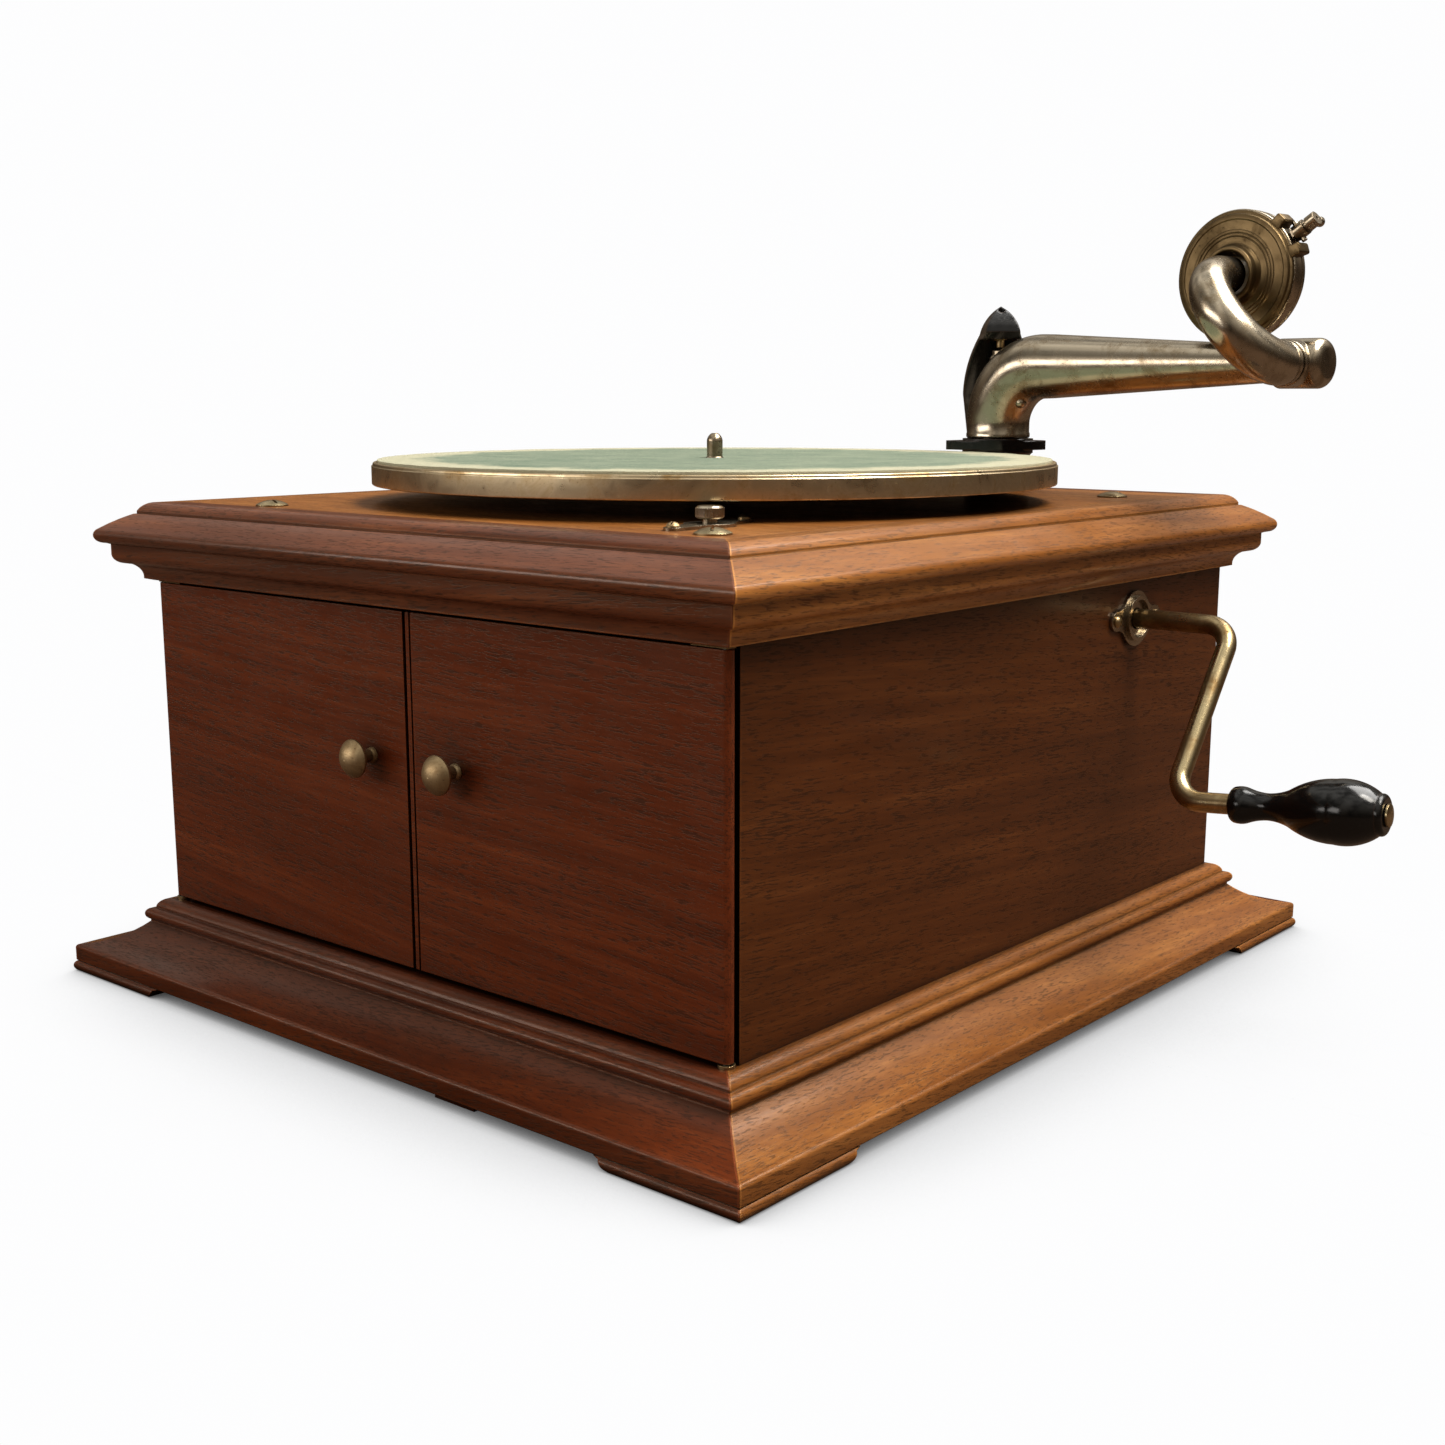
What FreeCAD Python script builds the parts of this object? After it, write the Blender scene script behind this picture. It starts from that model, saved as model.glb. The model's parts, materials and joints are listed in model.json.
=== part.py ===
import FreeCAD, Part
import math
import os
import Sketcher

# Wind-up phonograph: a table-top cabinet with a spring motor, an internal wooden horn
# behind two doors, a twelve-inch turntable, a swinging tone arm and a side crank.
# Origin: centre of the base on the table. +Z up, doors face -Y, crank on the +X side.

Vector = FreeCAD.Vector
Rotation = FreeCAD.Rotation
Placement = FreeCAD.Placement

doc = FreeCAD.newDocument("Phonograph")
sheet = doc.addObject("Spreadsheet::Sheet", "Sizes")


# ---------------------------------------------------------------- sizes that carry a formula

class Size:
    """A number together with the spreadsheet formula that it comes from."""

    def __init__(self, value, text):
        self.value = value
        self.text = text

    def __add__(self, other):
        return combine(self, other, "+", lambda p, q: p + q)

    def __radd__(self, other):
        return combine(other, self, "+", lambda p, q: p + q)

    def __sub__(self, other):
        return combine(self, other, "-", lambda p, q: p - q)

    def __rsub__(self, other):
        return combine(other, self, "-", lambda p, q: p - q)

    def __mul__(self, other):
        return combine(self, other, "*", lambda p, q: p * q)

    def __rmul__(self, other):
        return combine(other, self, "*", lambda p, q: p * q)

    def __truediv__(self, other):
        return combine(self, other, "/", lambda p, q: p / q)

    def __neg__(self):
        return 0 - self

    def __float__(self):
        return float(self.value)


def as_size(number):
    if isinstance(number, Size):
        return number
    return Size(number, repr(number))


def combine(left, right, sign, action):
    left = as_size(left)
    right = as_size(right)
    return Size(action(left.value, right.value), f"({left.text} {sign} {right.text})")


def cosine(angle):
    angle = as_size(angle)
    return Size(math.cos(math.radians(angle.value)), f"cos({angle.text} * 1 deg)")


def sine(angle):
    angle = as_size(angle)
    return Size(math.sin(math.radians(angle.value)), f"sin({angle.text} * 1 deg)")


def root(square):
    return Size(math.sqrt(square.value), f"sqrt({square.text})")


def dome(half_width, rise):
    """Radius of the round cap that has the given half width and rise."""
    return (half_width * half_width + rise * rise) / (2 * rise)


DRIVING_SIZES = {
    # cabinet
    "body_width": 333.0,
    "body_depth": 366.0,
    "panel_thick": 16.0,
    "back_thick": 8.0,
    "ledge_height": 33.6,
    "cornice_bottom": 180.5,
    "panel_top": 203.0,
    "deck_height": 215.0,
    "deck_border": 10.0,
    "base_inset": 19.0,
    "foot_length": 62.0,
    "apron_height": 4.6,
    "door_gap": 1.8,
    "door_head_gap": 1.0,
    "door_pivot_inset": 2.6,
    "door_relief": 0.6,
    "door_split": 2.1,
    "pin_radius": 1.5,
    "knob_height": 120.0,
    "knob_radius": 7.8,
    "left_knob_place": -20.0,
    "right_knob_place": 30.0,
    # horn
    "horn_bottom": 44.0,
    "horn_top": 116.0,
    "horn_wall": 5.0,
    "mouth_half_width": 130.0,
    "throat_half_width": 21.0,
    "throat_place": 112.0,
    # turntable
    "spindle_place_x": 10.0,
    "spindle_place_y": -7.0,
    "platter_radius": 152.4,
    "platter_top": 232.8,
    "platter_rim_height": 9.6,
    "felt_thick": 1.2,
    "shaft_radius": 4.0,
    "spindle_radius": 3.57,
    "spindle_tip": 244.7,
    # crank and winding
    "crank_place_y": 97.4,
    "crank_height": 163.9,
    "crank_throw": 83.5,
    "crank_reach": 214.0,
    "crank_rod_radius": 4.25,
    "crank_bend": 12.0,
    "crank_grip_tilt": 5.0,
    "crank_rest_angle": 37.1,
    "grip_start": 240.0,
    "grip_length": 62.0,
    "winding_module": 1.5,
    "winding_pinion_teeth": 16,
    "arbor_gear_teeth": 40,
    # motor
    "bedplate_bottom": 198.5,
    "left_cheek": -58.0,
    "right_cheek": 62.0,
    "cheek_thick": 4.0,
    "barrel_module": 1.25,
    "barrel_teeth": 50,
    "small_pinion_teeth": 12,
    "barrel_drum_radius": 28.5,
    "first_shaft_drop": 15.76,
    "first_wheel_teeth": 44,
    "crown_teeth": 32,
    "train_module": 1.0,
    "governor_height": 184.0,
    "governor_wheel_teeth": 30,
    "worm_starts": 3,
    "worm_radius": 3.5,
    "bearing_play": 0.05,
    # tone arm
    "arm_place_x": 56.5,
    "arm_place_y": 157.0,
    "arm_rest_angle": -5.0,
    "arm_height": 275.0,
    "arm_radius": 15.4,
    "arm_bend": 27.0,
    "arm_reach": 161.5,
    "arm_end_radius": 8.2,
    "arm_wall": 1.2,
    "joint_offset": 14.0,
    "joint_radius": 9.8,
    "neck_radius": 8.0,
    "hub_back": 30.0,
    "hub_rise": 38.0,
    "neck_leg": 4.0,
    "soundbox_radius": 28.5,
    "soundbox_depth": 12.0,
    "needle_angle": 34.0,
    "bracket_angle": 130.0,
    # speed regulator on the deck
    "regulator_x": 115.6,
    "regulator_y": -133.0,
}


def fill_sheet():
    """Write the driving sizes into the sheet and hand them back as Size objects."""
    table = {}
    for row, (alias, value) in enumerate(DRIVING_SIZES.items(), start=1):
        sheet.set(f"A{row}", alias)
        sheet.set(f"B{row}", str(value))
        sheet.setAlias(f"B{row}", alias)
        table[alias] = Size(value, f"Sizes.{alias}")
    doc.recompute()
    return table


S = fill_sheet()
HALF_W = S["body_width"] / 2
HALF_D = S["body_depth"] / 2
LEDGE = S["ledge_height"]
DECK = S["deck_height"]
PANEL = S["panel_thick"]
PLAY = S["bearing_play"]

# Shaft places of the going train, as (y, height); all these shafts run along X.
WINDING = (S["crank_place_y"], S["crank_height"])
WINDING_SPACING = S["winding_module"] * (S["winding_pinion_teeth"] + S["arbor_gear_teeth"]) / 2
ARBOR = (WINDING[0] - WINDING_SPACING, WINDING[1])
BARREL_SPACING = S["barrel_module"] * (S["barrel_teeth"] + S["small_pinion_teeth"]) / 2
FIRST_DROP = S["first_shaft_drop"]
FIRST = (ARBOR[0] - root(BARREL_SPACING * BARREL_SPACING - FIRST_DROP * FIRST_DROP), ARBOR[1] - FIRST_DROP)
SECOND_SPACING = S["train_module"] * (S["first_wheel_teeth"] + S["small_pinion_teeth"]) / 2
SECOND_SIDE = FIRST[0] - S["spindle_place_y"]
SECOND = (S["spindle_place_y"], FIRST[1] + root(SECOND_SPACING * SECOND_SPACING - SECOND_SIDE * SECOND_SIDE))
GOVERNOR_SPACING = S["train_module"] * S["governor_wheel_teeth"] / 2 + S["worm_radius"]
GOVERNOR = (S["spindle_place_y"] - GOVERNOR_SPACING, S["governor_height"])

nodes = []


def keep(item, label):
    """Register a finished sub-part under its own label."""
    item.Label = label
    nodes.append(item)
    return item


# ---------------------------------------------------------------- drawing and feature helpers

def bind(item, path, size):
    """Give one property a value, tied to the sheet where it has a formula."""
    size = as_size(size)
    if "Sizes." in size.text:
        item.setExpression(path, size.text)


def place(item, x=0, y=0, z=0, rotation=None):
    point = Vector(float(x), float(y), float(z))
    item.Placement = Placement(point, rotation or Rotation())
    for axis, size in zip("xyz", (x, y, z)):
        bind(item, f"Placement.Base.{axis}", size)
    return item


def turn_z(degrees):
    return Rotation(Vector(0, 0, 1), float(degrees))


# Turns local +Z to global +X, local +X to global +Y and local +Y to global +Z.
ALONG_X = Rotation(Vector(1, 1, 1), 120)
# Turns local +Z to global -Y, keeping local +X.
FACING_FRONT = Rotation(Vector(1, 0, 0), 90)


def new_body(name):
    return doc.addObject("PartDesign::Body", name)


def new_sketch(body, role, height=0, spin=0):
    """A sketch on one of the body's own origin planes, lifted along the plane's normal."""
    sketch = body.newObject("Sketcher::SketchObject", body.Name + "Sketch")
    plane = next(f for f in body.Origin.OriginFeatures if f.Role == role)
    sketch.AttachmentSupport = [(plane, "")]
    sketch.MapMode = "FlatFace"
    sketch.AttachmentOffset = Placement(Vector(0, 0, float(height)), turn_z(spin))
    bind(sketch, "AttachmentOffset.Base.z", height)
    return sketch


def pin_point(sketch, curve, end, x, y):
    for kind, size in (("DistanceX", x), ("DistanceY", y)):
        rule = sketch.addConstraint(Sketcher.Constraint(kind, -1, 1, curve, end, float(size)))
        bind(sketch, f"Constraints[{rule}]", size)


def arc_between(start, finish, radius, turn):
    """The short arc from start to finish; turn is 1 anticlockwise, -1 clockwise."""
    chord = finish - start
    half = chord.Length / 2
    height = math.sqrt(max(radius * radius - half * half, 0.0))
    left = Vector(-chord.y, chord.x, 0).normalize()
    centre = start + chord * 0.5 + left * (height * turn)
    outward = (start + chord * 0.5 - centre)
    if outward.Length < 1e-6:
        outward = left * (-turn)
    middle = centre + outward.normalize() * radius
    return Part.Arc(start, middle, finish)


def draw(sketch, outline, closed=True):
    """Draw (x, y) corners joined by lines, or (x, y, radius, turn) reached by an arc."""
    count = len(outline)
    points = [Vector(float(corner[0]), float(corner[1]), 0) for corner in outline]
    first = 0 if closed else 1
    curves = []
    for index in range(first, count):
        corner = outline[index]
        start = points[index - 1]
        finish = points[index]
        if len(corner) == 2:
            curve = sketch.addGeometry(Part.LineSegment(start, finish))
            ends = (1, 2)
        else:
            arc = arc_between(start, finish, float(corner[2]), corner[3])
            curve = sketch.addGeometry(arc)
            # Sketch arcs always run anticlockwise, so a clockwise arc is stored reversed.
            ends = (1, 2) if corner[3] > 0 else (2, 1)
        curves.append((curve, ends, corner))
    for position, (curve, ends, corner) in enumerate(curves):
        pin_point(sketch, curve, ends[1], corner[0], corner[1])
        if position:
            before, before_ends, _ = curves[position - 1]
            rule = Sketcher.Constraint("Coincident", before, before_ends[1], curve, ends[0])
            sketch.addConstraint(rule)
        if len(corner) == 4:
            rule = sketch.addConstraint(Sketcher.Constraint("Radius", curve, float(corner[2])))
            bind(sketch, f"Constraints[{rule}]", corner[2])
    opening, opening_ends, _ = curves[0]
    if closed:
        last, last_ends, _ = curves[-1]
        rule = Sketcher.Constraint("Coincident", last, last_ends[1], opening, opening_ends[0])
        sketch.addConstraint(rule)
    else:
        pin_point(sketch, opening, opening_ends[0], outline[0][0], outline[0][1])
    return sketch


def circle(sketch, x, y, radius):
    middle = Vector(float(x), float(y), 0)
    curve = sketch.addGeometry(Part.Circle(middle, Vector(0, 0, 1), float(radius)))
    pin_point(sketch, curve, 3, x, y)
    rule = sketch.addConstraint(Sketcher.Constraint("Radius", curve, float(radius)))
    bind(sketch, f"Constraints[{rule}]", radius)
    return sketch


def rectangle(x0, y0, x1, y1):
    return [(x0, y0), (x1, y0), (x1, y1), (x0, y1)]


def add_pad(body, sketch, length, both_ways=False, downward=False):
    pad = body.newObject("PartDesign::Pad", body.Name + "Pad")
    pad.Profile = sketch
    pad.Length = float(length)
    bind(pad, "Length", length)
    pad.Midplane = both_ways
    pad.Reversed = downward
    return pad


def cut_through(body, sketch, length=2000):
    """Pocket that runs both ways from its sketch, so it always meets the solid."""
    pocket = body.newObject("PartDesign::Pocket", body.Name + "Pocket")
    pocket.Profile = sketch
    pocket.Length = float(length)
    bind(pocket, "Length", length)
    pocket.Midplane = True
    return pocket


def add_turning(body, sketch, axis="V_Axis", kind="Revolution"):
    turning = body.newObject("PartDesign::" + kind, body.Name + kind)
    turning.Profile = sketch
    turning.ReferenceAxis = (sketch, [axis])
    turning.Angle = 360.0
    return turning


def turned(name, outline):
    """A lathe-turned body: (radius, height) corners spun about local Z."""
    body = new_body(name)
    add_turning(body, draw(new_sketch(body, "XZ_Plane"), outline))
    return body


def prism(name, role, outline, start, length):
    """A body with one padded outline, from start along the plane's normal."""
    body = new_body(name)
    add_pad(body, draw(new_sketch(body, role, start), outline), length)
    return body


def drill(body, role, x, y, radius):
    """A round hole right through, square to the plane."""
    cut_through(body, circle(new_sketch(body, role), x, y, radius))


def board(name, low, high):
    """A rectangular board between two opposite corners."""
    box = doc.addObject("Part::Box", name)
    for side, start, end in zip(("Length", "Width", "Height"), low, high):
        setattr(box, side, float(end - start))
        bind(box, side, end - start)
    return place(box, *low)


def rod(name, radius, length):
    bar = doc.addObject("Part::Cylinder", name)
    bar.Radius = float(radius)
    bar.Height = float(length)
    bind(bar, "Radius", radius)
    bind(bar, "Height", length)
    return bar


def fuse(name, pieces):
    whole = doc.addObject("Part::MultiFuse", name)
    whole.Shapes = pieces
    whole.Refine = True
    return whole


def cut(name, stock, tool):
    left = doc.addObject("Part::Cut", name)
    left.Base = stock
    left.Tool = tool
    return left


def group(name, pieces):
    """Several separate solids that share one node."""
    bundle = doc.addObject("Part::Compound", name)
    bundle.Links = pieces
    return bundle


def add_gear(body, module, teeth, start, width, phase=0.0):
    """A spur gear on local Z: a root disc, one tapered tooth and its polar pattern.

    The tooth is thinner than half the pitch, as in worn clock trains, so that meshing
    teeth keep backlash. phase turns the first tooth from local +X, in degrees.
    """
    pitch_radius = module * teeth / 2
    root_radius = pitch_radius - module * 1.2
    disc = new_sketch(body, "XY_Plane", start)
    circle(disc, 0, 0, root_radius)
    add_pad(body, disc, width)
    tooth = new_sketch(body, "XY_Plane", start, phase)
    outline = [
        (root_radius - module * 0.4, module * -0.80),
        (pitch_radius + module * 0.85, module * -0.34),
        (pitch_radius + module * 0.85, module * 0.34),
        (root_radius - module * 0.4, module * 0.80),
    ]
    draw(tooth, outline)
    pad = add_pad(body, tooth, width)
    pattern = body.newObject("PartDesign::PolarPattern", body.Name + "Teeth")
    pattern.Originals = [pad]
    pattern.Axis = (disc, ["N_Axis"])
    pattern.Angle = 360.0
    pattern.Occurrences = int(float(teeth))
    bind(pattern, "Occurrences", teeth)
    body.Tip = pattern
    return pattern


# ---------------------------------------------------------------- mouldings

def cornice_profile():
    """(outward, height) outline of the cornice: ovolo, sloping lip, fillet and cove."""
    low = S["cornice_bottom"]
    inner = -S["deck_border"]
    return [
        (inner, DECK),
        (0, DECK),
        (5.2, DECK - 3.8, 7.0, -1),
        (5.2, DECK - 5.0),
        (6.2, DECK - 5.0),
        (17.6, DECK - 11.6, 60.0, -1),
        (15.4, DECK - 17.8, 3.4, -1),
        (13.8, DECK - 18.4),
        (13.8, DECK - 23.0),
        (9.6, low + 7.6, 4.2, -1),
        (8.6, low + 7.6),
        (4.2, low + 2.0, 6.2, 1),
        (4.2, low + 0.8),
        (1.0, low),
        (0, low),
        (0, S["panel_top"]),
        (inner, S["panel_top"]),
    ]


def base_profile():
    """(outward, height) outline of the plinth: ledge, bead, wide cavetto and foot bead."""
    foot = S["apron_height"]
    return [
        (-S["base_inset"], LEDGE),
        (2.0, LEDGE),
        (6.6, LEDGE - 3.4, 5.4, -1),
        (6.6, LEDGE - 4.4),
        (8.0, LEDGE - 4.4),
        (8.6, LEDGE - 9.8, 2.8, -1),
        (8.6, LEDGE - 10.6),
        (31.6, LEDGE - 21.0, 38.0, 1),
        (33.2, LEDGE - 22.6, 1.7, -1),
        (33.2, foot + 0.6),
        (32.6, foot),
        (33.0, foot),
        (33.0, 0, 2.7, -1),
        (-S["base_inset"], 0),
    ]


LIP_CLEAR = 40.0


def mitred_rail(label, profile, inner, half_length, standoff, angle):
    """One length of moulding with both ends mitred, facing local -Y, then turned."""
    body = new_body(label)
    section = new_sketch(body, "YZ_Plane")
    # The section's outward direction is -Y, so arcs turn the other way round.
    outline = []
    for corner in profile:
        mirrored = (-(standoff + corner[0]), corner[1])
        if len(corner) == 4:
            mirrored = mirrored + (corner[2], -corner[3])
        outline.append(mirrored)
    draw(section, outline)
    add_pad(body, section, 2 * (half_length + LIP_CLEAR), both_ways=True)
    for side in (-1, 1):
        end = new_sketch(body, "XY_Plane")
        reach = half_length + LIP_CLEAR + 5
        near = half_length - inner
        draw(end, [
            (side * near, -(standoff - inner)),
            (side * reach, -(standoff + LIP_CLEAR + 5)),
            (side * reach, -(standoff - inner)),
        ])
        cut_through(body, end)
    place(body, rotation=turn_z(angle))
    return body


def notch_feet(body, half_length):
    """Cut the apron between the two corner feet, leaving a curved bracket at each."""
    lip = 33.2
    reach = half_length + lip - S["foot_length"]
    height = S["apron_height"]
    profile = new_sketch(body, "XZ_Plane")
    draw(profile, [
        (-reach - 3, -1),
        (reach + 3, -1),
        (reach + 3, 0.6),
        (reach - 1, height - 0.6, 5.0, -1),
        (reach - 4, height),
        (-reach + 4, height),
        (-reach + 1, height - 0.6),
        (-reach - 3, 0.6, 5.0, -1),
    ])
    cut_through(body, profile)


def cabinet_mouldings():
    sides = (
        ("front", HALF_W, HALF_D, 0),
        ("right", HALF_D, HALF_W, 90),
        ("back", HALF_W, HALF_D, 180),
        ("left", HALF_D, HALF_W, 270),
    )
    for side, half_length, standoff, angle in sides:
        rail = mitred_rail("base_" + side, base_profile(), S["base_inset"], half_length, standoff, angle)
        notch_feet(rail, half_length)
        keep(rail, "base_" + side)
        cornice = mitred_rail(
            "cornice_" + side, cornice_profile(), S["deck_border"], half_length, standoff, angle
        )
        keep(cornice, "cornice_" + side)


# ---------------------------------------------------------------- cabinet boards

def side_panel(label, side):
    """A side wall whose front edge is mitred and coved to clear the turning door."""
    pivot = S["door_pivot_inset"]
    relief = pivot + S["door_relief"]
    body = new_body(label)
    plan = new_sketch(body, "XY_Plane", LEDGE)
    front = -HALF_D + pivot
    mitre_gap = 0.5
    outline = [
        (side * HALF_W, HALF_D),
        (side * (HALF_W - PANEL), HALF_D),
        (side * (HALF_W - PANEL), front + PANEL - pivot + mitre_gap),
        (side * (HALF_W - pivot - relief * 0.7071), front + relief * 0.7071 + mitre_gap),
        (side * HALF_W, front + relief + mitre_gap, relief, -side),
    ]
    draw(plan, outline)
    add_pad(body, plan, S["panel_top"] - LEDGE)
    return body


def cabinet_boards():
    keep(side_panel("left_side", -1), "left_side")
    right = keep(side_panel("right_side", 1), "right_side")
    drill(right, "YZ_Plane", S["crank_place_y"], S["crank_height"], 7.0)
    inside = HALF_W - PANEL
    back_face = HALF_D - S["back_thick"]
    keep(board("back_panel", (-inside, back_face, LEDGE), (inside, HALF_D, S["panel_top"])), "back_panel")
    floor_half_w = HALF_W - S["base_inset"]
    floor_half_d = HALF_D - S["base_inset"]
    floor = board(
        "bottom_board",
        (-floor_half_w, -floor_half_d, LEDGE - 14),
        (floor_half_w, floor_half_d, LEDGE - 4),
    )
    keep(floor, "bottom_board")
    header = prism("front_header", "XY_Plane", [
        (-HALF_W, -HALF_D),
        (HALF_W, -HALF_D),
        (inside, -HALF_D + PANEL),
        (-inside, -HALF_D + PANEL),
    ], S["cornice_bottom"], S["panel_top"] - S["cornice_bottom"])
    keep(header, "front_header")
    behind_doors = -HALF_D + PANEL + 0.8
    panel = board(
        "baffle_board",
        (-inside, behind_doors, LEDGE),
        (inside, behind_doors + PANEL, S["panel_top"]),
    )
    opening = board(
        "baffle_opening",
        (-S["mouth_half_width"], behind_doors - 1, S["horn_bottom"]),
        (S["mouth_half_width"], behind_doors + PANEL + 1, S["horn_top"]),
    )
    keep(cut("front_panel", panel, opening), "front_panel")
    front_block = board(
        "front_block",
        (44, -HALF_D - 27, 0),
        (66, -HALF_D - 12, S["apron_height"]),
    )
    half_block = 30
    middle_block = board(
        "middle_block",
        (-half_block, -half_block, 0),
        (half_block, half_block, LEDGE - 14),
    )
    keep(group("centre_foot", [front_block, middle_block]), "centre_foot")


def motor_board():
    """The inset deck board, with holes for spindle, tone arm and speed screw."""
    gap = 0.4
    half_w = HALF_W - S["deck_border"] - gap
    half_d = HALF_D - S["deck_border"] - gap
    body = prism("motor_board", "XY_Plane", rectangle(-half_w, -half_d, half_w, half_d),
                 S["panel_top"], DECK - S["panel_top"])
    drill(body, "XY_Plane", S["spindle_place_x"], S["spindle_place_y"], 10.0)
    drill(body, "XY_Plane", S["arm_place_x"], S["arm_place_y"], 12.6)
    drill(body, "XY_Plane", S["regulator_x"], S["regulator_y"], 3.4)
    for x, y in DECK_SCREWS:
        drill(body, "XY_Plane", x, y, DECK_SCREW_SHANK + 0.1)
    for x, y in regulator_screw_places():
        drill(body, "XY_Plane", x, y, 1.6)
    return keep(body, "motor_board")


DECK_SCREWS = ((142.0, -162.0), (-104.0, -165.0), (137.0, 128.0), (-137.0, 128.0))
DECK_SCREW_SHANK = 2.4


def round_head_screw(name, head_radius, head_height, shank_radius, length, slot):
    """A slotted round-head screw, head resting on local Z = 0 and shank below."""
    edge = head_height * 0.25
    body = turned(name, [
        (0, -length),
        (shank_radius, -length + shank_radius),
        (shank_radius, 0),
        (head_radius, 0),
        (head_radius, edge),
        (0, head_height, dome(head_radius, head_height - edge), 1),
    ])
    groove = new_sketch(body, "XZ_Plane")
    draw(groove, rectangle(-slot / 2, head_height * 0.55, slot / 2, head_height * 2))
    cut_through(body, groove)
    return body


# ---------------------------------------------------------------- doors

def door(label, side):
    """A flush door mitred at its pivot edge and rounded about its pivot pin.

    side is 1 for the right door and -1 for the left; they meet at the split line.
    """
    pivot = S["door_pivot_inset"]
    front = -HALF_D
    back = front + PANEL
    split = S["door_split"] + side * 0.9
    pivot_x = side * (HALF_W - pivot)
    body = new_body(label)
    bottom = LEDGE + S["door_gap"]
    plan = new_sketch(body, "XY_Plane", bottom)
    diagonal = 0.7071
    draw(plan, [
        (split, front),
        (pivot_x, front),
        (pivot_x + side * pivot, front + pivot, pivot, side),
        (pivot_x, front + 2 * pivot, pivot, side),
        (pivot_x - side * pivot * diagonal, front + pivot + pivot * diagonal, pivot, side),
        (pivot_x - side * (PANEL - pivot), back),
        (split, back),
    ])
    add_pad(body, plan, S["cornice_bottom"] - S["door_head_gap"] - bottom)
    if side == 1:
        # A narrow bead is worked on the meeting edge of the right door.
        bead = new_sketch(body, "XY_Plane")
        draw(bead, rectangle(split + 2.0, front - 1, split + 3.0, front + 1.2))
        cut_through(body, bead)
    drill_blind_pins(body, pivot_x, front + pivot, bottom)
    return keep(body, label)


PIN_DEPTH = 10.0


def drill_blind_pins(body, x, y, bottom):
    top = S["cornice_bottom"] - S["door_head_gap"]
    for height in (bottom, top - PIN_DEPTH):
        hole = circle(new_sketch(body, "XY_Plane", height), x, y, S["pin_radius"])
        pocket = body.newObject("PartDesign::Pocket", body.Name + "PinHole")
        pocket.Profile = hole
        pocket.Length = PIN_DEPTH
        pocket.Reversed = True


def door_pins(label, side):
    """The two steel pins pressed into a door's top and bottom corners."""
    x = side * (HALF_W - S["door_pivot_inset"])
    y = -HALF_D + S["door_pivot_inset"]
    clear = 0.1
    foot = PIN_DEPTH + S["door_gap"] - clear
    head = PIN_DEPTH + S["door_head_gap"] - clear
    lower = place(rod(label + "_lower", S["pin_radius"], foot), x, y, LEDGE + clear)
    head_start = S["cornice_bottom"] - S["door_head_gap"] - PIN_DEPTH
    upper = place(rod(label + "_upper", S["pin_radius"], head), x, y, head_start)
    return keep(group(label, [lower, upper]), label)


def pivot_hardware():
    """Washers on the ledge and plates under the cornice, in which the pins turn."""
    hole = S["pin_radius"] + PLAY
    pieces = []
    for side, name in ((-1, "left"), (1, "right")):
        x = side * (HALF_W - S["door_pivot_inset"])
        y = -HALF_D + S["door_pivot_inset"]
        rim = S["door_pivot_inset"] + S["door_relief"] - PLAY
        washer = turned(name + "_washer", [(hole, 0), (rim, 0), (rim, 1.2), (hole, 1.2)])
        pieces.append(place(washer, x, y, LEDGE))
        strip = rectangle(-side * 14, -2.2, side * 2.2, 2.2)
        plate = prism(name + "_plate", "XY_Plane", strip, 0, 0.7)
        drill(plate, "XY_Plane", 0, 0, hole)
        pieces.append(place(plate, x, y, S["cornice_bottom"] - 0.7))
    keep(group("door_pivots", pieces), "door_pivots")


def door_knob(label, x):
    """A small turned brass knob: spigot, slim neck and domed head."""
    radius = S["knob_radius"]
    body = turned(label, [
        (0, -8),
        (1.8, -8),
        (1.8, 0),
        (3.4, 0),
        (3.1, 0.8),
        (2.6, 1.6),
        (2.6, 6.6),
        (radius, 9.0, 8.0, 1),
        (radius, 9.8),
        (0, 14.0, dome(radius, 4.2), 1),
    ])
    return keep(place(body, x, -HALF_D, S["knob_height"], FACING_FRONT), label)


def knob_hole(door_body, x):
    sketch = circle(new_sketch(door_body, "XZ_Plane", HALF_D - 8.5), x, S["knob_height"], 1.8)
    pocket = door_body.newObject("PartDesign::Pocket", door_body.Name + "KnobHole")
    pocket.Profile = sketch
    pocket.Length = 10
    pocket.Reversed = True


# ---------------------------------------------------------------- horn

def loft(body, sections, kind="AdditiveLoft"):
    shape = body.newObject("PartDesign::" + kind, body.Name + kind)
    shape.Profile = sections[0]
    shape.Sections = sections[1:]
    shape.Ruled = True
    return shape


def horn():
    """The flared wooden box horn, from the throat to the opening behind the doors."""
    body = new_body("horn")
    mouth = -HALF_D + PANEL + 17.0
    throat = S["throat_place"]
    middle = (S["horn_bottom"] + S["horn_top"]) / 2
    tall = (S["horn_top"] - S["horn_bottom"]) / 2
    wall = S["horn_wall"]
    for kind, inset, extra in (("AdditiveLoft", 0, 0), ("SubtractiveLoft", wall, 1)):
        wide = new_sketch(body, "XZ_Plane", -(mouth - extra))
        half = S["mouth_half_width"] - inset
        draw(wide, rectangle(-half, middle - tall + inset, half, middle + tall - inset))
        narrow = new_sketch(body, "XZ_Plane", -(throat + extra))
        centre = S["arm_place_x"]
        half = S["throat_half_width"] - inset
        low = middle - half
        draw(narrow, rectangle(centre - half, low, centre + half, middle + half))
        loft(body, [wide, narrow], kind)
    return keep(body, "horn")


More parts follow.
